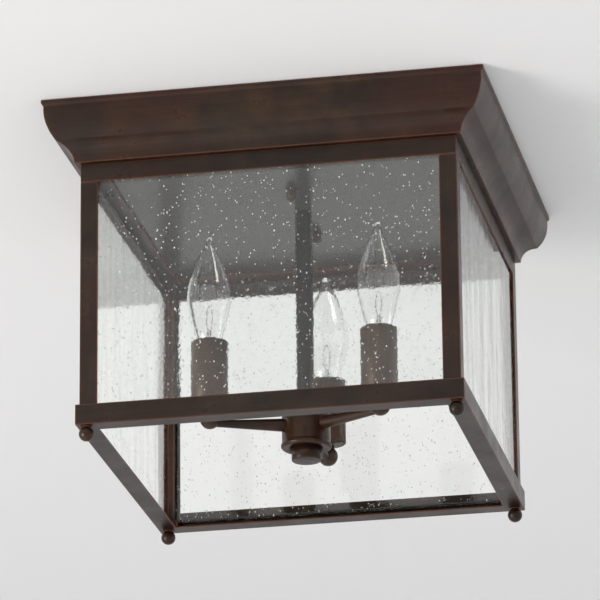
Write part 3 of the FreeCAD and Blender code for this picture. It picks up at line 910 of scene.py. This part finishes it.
@dataclass
class Glazing:
    """Four rippled panes, each with its seeds."""

    finishes: Finishes
    cell: float = 3.0 * MM
    ripple: float = 0.035 * MM
    seed_density: float = 88000.0
    seed_size: float = 0.50 * MM
    seed_margin: float = 2.0 * MM
    seed_room: float = 0.8 * MM
    drifts_per_metre: float = 22.0
    waves: int = 9

    def sway(self, rng: random.Random) -> Callable[[float, float], float]:
        """A smooth uneven surface: long waves up the sheet and short ones across it.

        Args:
            rng: Source of the waves.

        Returns:
            The height, from -1 to 1, at a place across and up the sheet.
        """
        terms = [(rng.uniform(90, 620), rng.uniform(-45, 45), rng.uniform(0, TURN), rng.uniform(0.3, 1.0))
                 for _ in range(self.waves)]
        total = sum(term[3] * 350 / (term[0] + 150) for term in terms)

        def height(u: float, v: float) -> float:
            """Add the waves up at one place."""
            return sum(math.sin(a * u + b * v + c) * d * 350 / (a + 150) for a, b, c, d in terms) / total

        return height

    def pane(self, side: Side, seed: int) -> None:
        """One pane with waved faces and its seeds.

        Args:
            side: Which side of the lantern.
            seed: Seed of its ripples and bubbles.
        """
        node = "pane_" + side.name.lower()
        low, high = (Vector(corner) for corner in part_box(node))
        rng = random.Random(seed)
        along = 0 if side.value[0] == 0 else 1
        across = 1 - along
        wide, tall = high[along] - low[along], high[2] - low[2]
        columns, rows = round(wide / self.cell), round(tall / self.cell)
        bm = bmesh.new()
        faces = []
        for face, place, sign in ((0, low[across], 1), (1, high[across], -1)):
            sway = self.sway(rng)
            grid = []
            for r in range(rows + 1):
                line = []
                for c in range(columns + 1):
                    u, v = low[along] + wide * c / columns, low[2] + tall * r / rows
                    point = Vector((0, 0, v))
                    point[along] = u
                    fade = min(1.0, min(c, columns - c) / 2, min(r, rows - r) / 2)
                    point[across] = place + sign * self.ripple * (1 + sway(u, v)) * fade
                    line.append(bm.verts.new(point))
                grid.append(line)
            faces.append(grid)
        for grid in faces:
            for r in range(rows):
                for c in range(columns):
                    bm.faces.new((grid[r][c], grid[r][c + 1], grid[r + 1][c + 1], grid[r + 1][c]))
        edge = ([(0, c) for c in range(columns)] + [(r, columns) for r in range(rows)]
                + [(rows, c) for c in range(columns, 0, -1)] + [(r, 0) for r in range(rows, 0, -1)])
        for (r0, c0), (r1, c1) in zip(edge, edge[1:] + edge[:1]):
            skirt = bm.faces.new((faces[0][r0][c0], faces[0][r1][c1], faces[1][r1][c1], faces[1][r0][c0]))
            skirt.material_index = 1
        obj = from_bmesh("glass_" + side.name.lower(), bm)
        for polygon in obj.data.polygons:
            polygon.use_smooth = polygon.material_index == 0
        kept = [polygon.material_index for polygon in obj.data.polygons]
        dress(obj, self.finishes.pane, replaces=[node])
        obj.data.materials.append(self.finishes.pane_edge)
        obj.data.polygons.foreach_set("material_index", kept)
        self.seeds(side, seed, low, high)

    def seed_tree(self) -> bpy.types.GeometryNodeTree:
        """Strew small stretched bubbles over a sheet, in drifts.

        Returns:
            The node tree.
        """
        tree = bpy.data.node_groups.new("seeds in a pane", "GeometryNodeTree")
        tree.interface.new_socket("Geometry", in_out="INPUT", socket_type="NodeSocketGeometry")
        for label, kind in (("Density", "NodeSocketFloat"), ("Bubble radius", "NodeSocketFloat"),
                            ("Seed", "NodeSocketInt"), ("Finish", "NodeSocketMaterial")):
            tree.interface.new_socket(label, in_out="INPUT", socket_type=kind)
        tree.interface.new_socket("Geometry", in_out="OUTPUT", socket_type="NodeSocketGeometry")
        given = add_node(tree, "NodeGroupInput").outputs
        drift = add_node(tree, "ShaderNodeTexNoise", {"Scale": self.drifts_per_metre, "Detail": 2.0})
        strewn = add_node(tree, "GeometryNodeDistributePointsOnFaces",
                          {"Mesh": given["Geometry"], "Density Max": given["Density"],
                           "Density Factor": remap(tree, drift.outputs["Fac"], 0.42, 0.72, 0.14, 1.0),
                           "Distance Min": self.seed_room, "Seed": given["Seed"]},
                          distribute_method="POISSON")
        bubble = add_node(tree, "GeometryNodeMeshIcoSphere", {"Radius": given["Bubble radius"],
                                                              "Subdivisions": 2})
        stretch = add_node(tree, "FunctionNodeRandomValue", {0: (0.35, 0.35, 0.45), 1: (1.15, 0.95, 1.7),
                                                             "Seed": given["Seed"]}, data_type="FLOAT_VECTOR")
        placed = add_node(tree, "GeometryNodeInstanceOnPoints",
                          {"Points": strewn.outputs["Points"], "Instance": bubble.outputs["Mesh"],
                           "Scale": stretch.outputs[0]})
        real = add_node(tree, "GeometryNodeRealizeInstances", {0: placed.outputs[0]})
        finished = add_node(tree, "GeometryNodeSetMaterial", {"Geometry": real.outputs[0],
                                                              "Material": given["Finish"]})
        smooth = add_node(tree, "GeometryNodeSetShadeSmooth", {0: finished.outputs[0]})
        add_node(tree, "NodeGroupOutput", {"Geometry": smooth.outputs[0]})
        return tree

    def seeds(self, side: Side, seed: int, low: Vector, high: Vector) -> None:
        """Strew the bubbles through the middle of one pane.

        Args:
            side: Which side of the lantern.
            seed: Seed of the bubbles.
            low: Low corner of the pane.
            high: High corner of the pane.
        """
        margin = self.seed_margin
        along = 0 if side.value[0] == 0 else 1
        across = 1 - along
        corners = []
        for u, v in ((0, 0), (1, 0), (1, 1), (0, 1)):
            point = Vector((0, 0, (low.z + margin, high.z - margin)[v]))
            point[along] = (low[along] + margin, high[along] - margin)[u]
            point[across] = (low[across] + high[across]) / 2
            corners.append(point)
        obj = flat_sheet("seeds_" + side.name.lower(), corners)
        modifier = obj.modifiers.new("seeds", "NODES")
        modifier.node_group = bpy.data.node_groups.get("seeds in a pane") or self.seed_tree()
        values = {"Density": self.seed_density, "Bubble radius": self.seed_size, "Seed": seed,
                  "Finish": self.finishes.seed}
        for item in modifier.node_group.interface.items_tree:
            if item.in_out == "INPUT" and item.name in values:
                modifier[item.identifier] = values[item.name]
        bake_modifiers(obj)
        dress(obj, self.finishes.seed)

    def build(self) -> None:
        """Make and dress the four panes."""
        for seed, side in enumerate(Side, start=3):
            self.pane(side, seed)


@dataclass
class Finials:
    """Ball finials and their washers at the four corners."""

    finishes: Finishes
    seat_gap: float = 0.02 * MM
    seat_radius: float = 2.5 * MM
    neck_drop: float = 0.5 * MM
    neck_edge: float = 0.35 * MM
    stud_radius: float = 1.7 * MM
    stud_edge: float = 0.4 * MM
    washer_radius: float = 4.2 * MM
    washer_bore: float = 1.75 * MM
    washer_edge: float = 0.15 * MM

    def build(self) -> None:
        """Make and dress the finials."""
        for corner in ("front_left", "front_right", "rear_right", "rear_left"):
            node = "finial_" + corner
            low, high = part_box(node)
            place = middle(node)
            radius = (high[0] - low[0]) / 2
            washer_low, washer_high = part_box("finial_washer_" + corner)
            seat, ball = washer_low[2] - self.seat_gap, low[2] + radius
            stud, edge = self.stud_radius, self.stud_edge
            rise = math.degrees(math.asin(min(1.0, (seat - self.neck_drop - ball) / radius)))
            profile = arc((0.0, ball), radius, -90, rise, 20)
            profile[0] = (0.0, low[2])
            profile += [(self.seat_radius, seat - self.neck_edge), (self.seat_radius, seat), (stud, seat),
                        (stud, high[2] - edge), (stud - edge, high[2]), (0.0, high[2])]
            dress(lathe("ball_" + corner, profile, place, 40), self.finishes.bronze,
                  node + "_turning", [node])
            ring = tube_profile(self.washer_radius, self.washer_bore, washer_low[2], washer_high[2],
                                self.washer_edge)
            dress(lathe("washer_" + corner, ring, place, 40, True), self.finishes.bronze,
                  node + "_travel", ["finial_washer_" + corner])


# ------------------------------------------------------------------ stem, hub, arms and candles

@dataclass
class Cluster:
    """Stem, hub and plug, with three arms that carry cups and candle sleeves."""

    finishes: Finishes
    arm_names: tuple[str, ...] = ("left", "right", "rear")
    arm_hub_drop: float = 204.0 * MM
    arm_end_drop: float = 208.5 * MM
    arm_hub_radius: float = 5.0 * MM
    arm_end_radius: float = 2.3 * MM
    hub_inner: float = 13.5 * MM
    arm_short: float = 2.6 * MM
    arm_steps: int = 12
    stem_wall: float = 1.0 * MM
    stem_edge: float = 0.2 * MM
    hub_radius: float = 17.5 * MM
    hub_wall: float = 2.5 * MM
    hub_top: float = 3.0 * MM
    hub_bore: float = 4.9 * MM
    lip_radius: float = 2.2 * MM
    lip_flare: float = 0.8 * MM
    floor_thick: float = 2.8 * MM
    floor_bore: float = 8.1 * MM
    floor_well: float = 11.5 * MM
    plug_radius: float = 10.7 * MM
    plug_neck: float = 8.0 * MM
    plug_edge: float = 0.3 * MM
    ring_radius: float = 9.8 * MM
    ring_bore: float = 8.05 * MM
    ring_edge: float = 0.15 * MM
    ball_radius: float = 7.2 * MM
    cup_neck: float = 4.5 * MM
    seat_radius: float = 12.15 * MM
    seat_thick: float = 2.0 * MM
    cup_bore: float = 3.0 * MM
    sleeve_wall: float = 0.9 * MM
    sleeve_edge: float = 0.4 * MM

    def stem(self) -> None:
        """The plain stem tube."""
        low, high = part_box("stem_tube")
        radius = (high[0] - low[0]) / 2
        profile = tube_profile(radius, radius - self.stem_wall, low[2], high[2], self.stem_edge)
        # The stem takes the shaded copy of the paint, painted dark for the shade inside the lantern.
        dress(lathe("stem", profile, (0, 0), 48, True), self.finishes.bronze_dark,
              replaces=["stem_tube"])

    def hub(self) -> None:
        """Hub with its rounded lip and its floor."""
        low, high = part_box("hub_body")
        radius, top, under = self.hub_radius, high[2], high[2] - self.hub_top
        lip, floor = self.lip_radius, low[2] + self.lip_radius
        lip_centre = (radius + self.lip_flare - lip, floor)
        outside = [(self.hub_bore, top), (radius - 1.4 * MM, top), (radius - 0.6 * MM, top - 0.3 * MM),
                   (radius, top - 1.4 * MM), (radius, floor + 2.6 * MM),
                   (radius + 0.1 * MM, floor + 1.9 * MM)]
        outside += arc(lip_centre, lip, 32, -100, 14)
        inner, shelf = radius - self.hub_wall, floor + self.floor_thick
        inside = [(13.2 * MM, low[2] + 0.15 * MM), (12.1 * MM, low[2] + 0.45 * MM),
                  (11.6 * MM, low[2] + 1.1 * MM), (self.floor_well, floor), (self.floor_bore, floor),
                  (self.floor_bore, shelf), (inner, shelf), (inner, under), (self.hub_bore, under)]
        dress(lathe("hub", outside + inside, (0, 0), 96, True), self.finishes.bronze,
              replaces=["hub_body"])

    def plug(self) -> None:
        """Plug under the hub, and its washer."""
        low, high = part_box("hub_plug")
        washer_low, washer_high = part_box("plug_washer")
        wide, neck, edge, head = self.plug_radius, self.plug_neck, self.plug_edge, washer_low[2]
        profile = [(0.0, low[2]), (wide - 0.9 * MM, low[2]), (wide - 0.35 * MM, low[2] + 0.15 * MM),
                   (wide, low[2] + 0.7 * MM), (wide, head - edge), (wide - edge, head), (neck, head),
                   (neck, high[2]), (0.0, high[2])]
        dress(lathe("plug", profile, (0, 0), 72), self.finishes.bronze_small, "plug_turning",
              ["hub_plug"])
        ring = tube_profile(self.ring_radius, self.ring_bore, washer_low[2], washer_high[2], self.ring_edge)
        dress(lathe("plug_ring", ring, (0, 0), 64, True), self.finishes.bronze_small,
              "plug_travel", ["plug_washer"])

    def arm(self, name: str) -> None:
        """One tapered arm, its ball cup and the sleeve on it.

        Args:
            name: Which arm.
        """
        axis = middle("candle_sleeve_" + name)
        out = Vector((axis.x, axis.y, 0)).normalized()
        circle = Vector((axis.x, axis.y, 0)).length
        points = []
        for i in range(self.arm_steps + 1):
            reach = self.hub_inner + (circle - self.arm_short - self.hub_inner) * i / self.arm_steps
            drop = self.arm_hub_drop + (self.arm_end_drop - self.arm_hub_drop) * reach / circle
            points.append(out * reach + Vector((0, 0, -drop)))
        taper = wire("arm_tube_" + name, points, lambda share: self.arm_hub_radius
                     + (self.arm_end_radius - self.arm_hub_radius) * share, 28)
        dress(taper, self.finishes.bronze, replaces=["arm_" + name])
        self.cup(name, axis)
        sleeve_low, sleeve_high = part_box("candle_sleeve_" + name)
        radius = (sleeve_high[0] - sleeve_low[0]) / 2
        profile = tube_profile(radius, radius - self.sleeve_wall, sleeve_low[2], sleeve_high[2],
                               self.sleeve_edge)
        # The sleeve takes the lit copy of the paint, painted lighter for the light that falls on it.
        dress(lathe("sleeve_" + name, profile, axis, 64, True), self.finishes.bronze_sleeve,
              replaces=["candle_sleeve_" + name])

    def cup(self, name: str, axis: Vector) -> None:
        """Ball cup with a neck and the seat of the sleeve.

        Args:
            name: Which arm.
            axis: Middle of its sleeve.
        """
        low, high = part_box("cup_" + name)
        ball = low[2] + self.ball_radius
        neck, seat, bore = self.cup_neck, self.seat_radius, self.cup_bore
        base = high[2] - self.seat_thick
        rise = math.degrees(math.acos((neck + 0.6 * MM) / self.ball_radius))
        profile = arc((0.0, ball), self.ball_radius, -90, rise, 20)
        profile[0] = (0.0, low[2])
        profile += [(neck, ball + 6.0 * MM), (neck, base - 0.8 * MM), (neck + 0.8 * MM, base), (seat, base),
                    (seat, high[2]), (bore, high[2]), (bore, ball), (0.0, ball)]
        dress(lathe("ball_cup_" + name, profile, axis, 48), self.finishes.bronze,
              replaces=["cup_" + name])

    def build(self) -> None:
        """Make and dress the cluster."""
        self.stem()
        self.hub()
        self.plug()
        for name in self.arm_names:
            self.arm(name)


@dataclass
class Bulb:
    """One clear torpedo bulb: blown envelope, inner stem with its wires, threaded base and contact."""

    finishes: Finishes
    name: str
    wall: float = 0.6 * MM
    pitch: float = 2.54 * MM
    thread: float = 0.35 * MM
    base_radius: float = 5.85 * MM
    base_rows: int = 60
    base_steps: int = 48
    unit: float = 10.6 * MM
    lead_radius: float = 0.22 * MM
    lead_line: tuple[tuple[float, float], ...] = (
        (0.6, 8.0), (0.7, 11.5), (1.5, 15.0), (2.2, 19.5), (2.1, 24.0), (1.5, 28.0))
    coil_turns: int = 16
    coil_steps: int = 8
    coil_reach: float = 1.5 * MM
    coil_rise: float = 3.0 * MM
    coil_radius: float = 0.32 * MM
    coil_wire: float = 0.09 * MM
    outline: tuple[tuple[float, float], ...] = field(default=(
        (0.0, 0.50), (0.045, 0.80), (0.11, 0.98), (0.17, 1.10), (0.28, 1.30), (0.39, 1.48), (0.50, 1.47),
        (0.60, 1.32), (0.70, 1.06), (0.80, 0.74), (0.88, 0.44), (0.93, 0.27), (0.965, 0.19), (0.985, 0.16),
        (0.997, 0.09), (1.0, 0.0)))

    def smooth_outline(self, points: Sequence[tuple[float, float]], count: int) -> list[tuple[float, float]]:
        """Run a smooth curve through the outline's points.

        Args:
            points: The points.
            count: Number of steps between two of them.

        Returns:
            The finer line.
        """
        fine = []
        for i in range(len(points) - 1):
            a = Vector(points[max(i - 1, 0)])
            b, c = Vector(points[i]), Vector(points[i + 1])
            d = Vector(points[min(i + 2, len(points) - 1)])
            for k in range(count):
                s = k / count
                fine.append(tuple(0.5 * (2 * b + (c - a) * s + (2 * a - 5 * b + 4 * c - d) * s ** 2
                                         + (3 * b - a - 3 * c + d) * s ** 3)))
        return fine + [tuple(points[-1])]

    def envelope(self, axis: Vector, low: float, high: float, body: str) -> None:
        """The blown glass, as a thin closed shell.

        Args:
            axis: The bulb's axis.
            low: Height of its lower end.
            high: Height of its tip.
            body: The body that it turns with.
        """
        tall = high - low
        outer = [(share * tall + low, radius * self.unit) for share, radius in self.outline]
        outer = [(max(0.0, radius), z) for z, radius in self.smooth_outline(outer, 5)]
        outer[-1] = (0.0, high)
        inner = [(radius - self.wall, z) for radius, z in outer
                 if radius > 2.2 * self.wall and z < high - 3 * MM]
        last = inner[-1]
        profile = [(0.0, low)] + outer
        shell = lathe("bulb_shell_" + self.name, profile, axis, 56)
        hollow = [(0.0, low + self.wall)] + [(r, z) for r, z in inner if z > low + self.wall] + [
            (0.0, last[1] + 0.8 * self.wall)]
        cavity = lathe("bulb_cavity", hollow, axis, 56)
        cavity.data.flip_normals()
        whole = joined("bulb_shell_" + self.name, [shell, cavity])
        dress(whole, self.finishes.bulb, body, ["bulb_glass_" + self.name])

    def inside(self, axis: Vector, low: float, body: str) -> None:
        """Glass stem, two lead wires and the filament between them.

        Args:
            axis: The bulb's axis.
            low: Height of the glass's lower end.
            body: The body that they turn with.
        """
        stem = [(0.0, low + 0.9 * MM), (3.9 * MM, low + 1.0 * MM), (3.2 * MM, low + 4 * MM),
                (1.9 * MM, low + 8 * MM), (1.5 * MM, low + 11 * MM), (1.1 * MM, low + 12.5 * MM),
                (0.0, low + 13 * MM)]
        dress(lathe("bulb_stem_" + self.name, stem, axis, 24), self.finishes.bulb, body)
        wires = []
        top = low + self.lead_line[-1][1] * MM
        for sign in (-1, 1):
            points = [axis + Vector((sign * x * MM, 0, low + z * MM - axis.z)) for x, z in self.lead_line]
            wires.append(wire("lead", points, lambda share: self.lead_radius, 8))
        coil = []
        steps = self.coil_turns * self.coil_steps
        for i in range(steps + 1):
            side = i / steps * 2 - 1
            angle = TURN * self.coil_turns * i / steps
            coil.append(Vector((axis.x + side * self.coil_reach,
                                axis.y + self.coil_radius * math.cos(angle),
                                top + self.coil_rise * (1 - side ** 2) + self.coil_radius * math.sin(angle))))
        wires.append(wire("coil", coil, lambda share: self.coil_wire, 6))
        dress(joined("bulb_filament_" + self.name, wires), self.finishes.filament, body)

    def base(self, axis: Vector, low: float, high: float, body: str) -> None:
        """Rolled screw base whose thread rises round it.

        Args:
            axis: The bulb's axis.
            low: Height of the base's lower end.
            high: Height of its upper end.
            body: The body that it turns with.
        """
        bm = bmesh.new()
        steps, rows, radius = self.base_steps, self.base_rows, self.base_radius
        rings = []
        for row in range(rows + 1):
            z = low + (high - low) * row / rows
            edge = min(1.0, (z - low) / (1.2 * MM), (high - z) / (2.2 * MM))
            ring = []
            for i in range(steps):
                turn = i / steps
                wave = 0.5 + 0.5 * math.sin(TURN * ((z - low) / self.pitch - turn))
                size = radius - self.thread * (1 - wave) * edge
                ring.append(bm.verts.new((axis.x + size * math.cos(TURN * turn),
                                          axis.y + size * math.sin(TURN * turn), z)))
            rings.append(ring)
        bridge(bm, rings)
        bm.faces.new(rings[0])
        bm.faces.new(rings[-1])
        dress(from_bmesh("bulb_screw_" + self.name, bm), self.finishes.brass, body,
              ["bulb_base_" + self.name])

    def build(self) -> None:
        """Make and dress the bulb's pieces."""
        turning, travel = "bulb_%s_turning" % self.name, "bulb_%s_travel" % self.name
        axis = middle("bulb_base_" + self.name)
        base_low, base_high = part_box("bulb_base_" + self.name)
        glass_low, glass_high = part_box("bulb_glass_" + self.name)
        self.envelope(axis, glass_low[2], glass_high[2], turning)
        self.inside(axis, glass_low[2], turning)
        self.base(axis, base_low[2], base_high[2], turning)
        low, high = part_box("bulb_contact_" + self.name)
        profile = [(0.0, low[2]), (1.2 * MM, low[2] + 0.12 * MM), (2.0 * MM, low[2] + 0.5 * MM),
                   (2.2 * MM, high[2]), (0.0, high[2])]
        dress(lathe("bulb_tip_" + self.name, profile, axis, 32), self.finishes.solder, travel,
              ["bulb_contact_" + self.name])


# ------------------------------------------------------------------ frame nodes that stay, stage and camera

def dress_frame(frame: dict, finishes: Finishes) -> None:
    """Give each frame node that still shows its own finish.

    Args:
        frame: The loaded frame.
        finishes: The finishes.
    """
    by_slot = {Slot.BRONZE: finishes.bronze, Slot.PAN: finishes.pan, Slot.PANE: finishes.pane,
               Slot.BULB: finishes.bulb, Slot.BRASS: finishes.brass, Slot.RESIN: finishes.resin,
               Slot.ZINC: finishes.zinc, Slot.GREEN: finishes.green, Slot.LEAD: finishes.lead,
               Slot.NYLON: finishes.nylon}
    wanted = {part["node"]: Slot(part["material_slot"]) for part in frame["record"]["subparts"]}
    for name, obj in frame["nodes"].items():
        obj.data.materials.clear()
        obj.data.materials.append(finishes.bronze_small if name == "frame_screws" else by_slot[wanted[name]])


@dataclass
class Studio:
    """Pale ceiling, pale floor, soft lamps and the camera."""

    ceiling_colour: str = "ececed"
    painted_glow_through_glass: float = 0.11
    floor_colour: str = "e6e6e6"
    floor_glow: float = 0.31
    floor_drop: float = 2.4
    ceiling_lift: float = 0.3 * MM
    stage_reach: float = 14.0
    sky_colour: str = "f2f2f5"
    sky_strength: float = 0.66
    sensor: float = 36.0

    def sheet(self, name: str, height: float, reach: float, material: bpy.types.Material, up: bool) -> None:
        """A flat stage sheet.

        Args:
            name: Name of the sheet.
            height: Its height.
            reach: Half its width.
            material: Its finish.
            up: Whether it faces up.
        """
        corners = [(-reach, -reach, height), (-reach, reach, height), (reach, reach, height),
                   (reach, -reach, height)]
        if up:
            corners.reverse()
        obj = flat_sheet(name, corners)
        obj.data.materials.append(material)

    def one_sided(self, tree: Tree, shader: Socket) -> Socket:
        """Let a sheet be seen from its face only.

        Args:
            tree: The sheet's node tree.
            shader: Its face.

        Returns:
            The shader, clear from the back.
        """
        clear = add_node(tree, "ShaderNodeBsdfTransparent")
        side = add_node(tree, "ShaderNodeNewGeometry")
        return blend_shaders(tree, side.outputs["Backfacing"], shader, clear.outputs[0])

    def ceiling(self) -> bpy.types.Material:
        """White ceiling paint that is only there from below, with a painted glow where it is seen through
        glass.

        Returns:
            The material.
        """
        material, tree = new_material("ceiling paint")
        paint = add_node(tree, "ShaderNodeBsdfDiffuse", {"Color": linear(self.ceiling_colour)})
        # Painted light: where the ceiling is seen through glass it glows a little, to make up for the light
        # that the panes hold back.
        path = add_node(tree, "ShaderNodeLightPath")
        lift = add_node(tree, "ShaderNodeMath", {0: path.outputs["Is Transmission Ray"],
                                                 1: self.painted_glow_through_glass}, operation="MULTIPLY")
        glow = add_node(tree, "ShaderNodeEmission", {"Color": linear(self.ceiling_colour),
                                                     "Strength": lift.outputs[0]})
        seen = add_node(tree, "ShaderNodeAddShader", {0: paint.outputs[0], 1: glow.outputs[0]})
        finish_material(tree, self.one_sided(tree, seen.outputs[0]))
        return material

    def floor(self) -> bpy.types.Material:
        """Pale sunlit floor that fills the undersides and is only there from above.

        Returns:
            The material.
        """
        material, tree = new_material("sunlit pale floor")
        paint = add_node(tree, "ShaderNodeBsdfDiffuse", {"Color": linear(self.floor_colour)})
        sun = add_node(tree, "ShaderNodeEmission", {"Color": linear(self.floor_colour),
                                                    "Strength": self.floor_glow})
        lit = add_node(tree, "ShaderNodeAddShader", {0: paint.outputs[0], 1: sun.outputs[0]})
        finish_material(tree, self.one_sided(tree, lit.outputs[0]))
        return material

    def lamp(self, name: str, place: Sequence[float], aim: Sequence[float], wide: float, tall: float,
             power: float, colour: str) -> None:
        """One soft lamp.

        Args:
            name: Name of the lamp.
            place: Its middle.
            aim: The point that it shines at.
            wide: Its width.
            tall: Its height.
            power: Its power in watts.
            colour: Its colour in hex.
        """
        data = bpy.data.lights.new(name, "AREA")
        data.shape = "RECTANGLE"
        data.size, data.size_y = wide, tall
        data.energy = power
        data.color = linear(colour)[:3]
        obj = bpy.data.objects.new(name, data)
        bpy.context.scene.collection.objects.link(obj)
        obj.location = place
        obj.rotation_mode = "QUATERNION"
        obj.rotation_quaternion = (Vector(aim) - Vector(place)).to_track_quat("-Z", "Y")

    def world(self) -> None:
        """Even pale surroundings."""
        scene = bpy.context.scene
        scene.world = bpy.data.worlds.new("studio")
        scene.world.use_nodes = True
        tree = scene.world.node_tree
        tree.nodes.clear()
        sky = add_node(tree, "ShaderNodeBackground", {"Color": linear(self.sky_colour),
                                                      "Strength": self.sky_strength})
        add_node(tree, "ShaderNodeOutputWorld", {"Surface": sky.outputs[0]})

    def camera(self) -> None:
        """Camera at the photograph's place, below and to the right of the lantern."""
        data = bpy.data.cameras.new("camera")
        data.lens = CAMERA_LENS
        data.sensor_width = self.sensor
        data.clip_start, data.clip_end = 0.05, 60.0
        obj = bpy.data.objects.new("camera", data)
        bpy.context.scene.collection.objects.link(obj)
        obj.location = CAMERA_PLACE
        obj.rotation_mode = "QUATERNION"
        facing = (CAMERA_AIM - CAMERA_PLACE).to_track_quat("-Z", "Y")
        obj.rotation_quaternion = facing @ Matrix.Rotation(CAMERA_ROLL, 3, "Z").to_quaternion()
        bpy.context.scene.camera = obj

    def build(self) -> None:
        """Set the stage, the lamps and the camera."""
        self.sheet("ceiling", self.ceiling_lift, self.stage_reach, self.ceiling(), False)
        self.sheet("floor", -self.floor_drop, self.stage_reach, self.floor(), True)
        self.lamp("key", (-2.3, -1.9, -1.3), (0, 0, -0.12), 1.2, 1.2, 56.0, "fffbf6")
        self.lamp("window", (2.6, 0.9, -0.40), (0, 0, -0.15), 1.4, 0.6, 7.0, "f8faff")
        self.world()
        self.camera()
        bpy.context.scene.view_settings.view_transform = "Standard"


def main() -> None:
    """Build every sub-assembly in order."""
    logging.basicConfig(level=logging.INFO, format="%(name)s: %(message)s")
    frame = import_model()
    Studio().build()
    finishes = Finishes.build()
    dress_frame(frame, finishes)
    Canopy(finishes).build()
    Body(finishes).build()
    Glazing(finishes).build()
    Finials(finishes).build()
    Cluster(finishes).build()
    for name in ("left", "right", "rear"):
        Bulb(finishes, name).build()


if __name__ == "__main__":
    main()
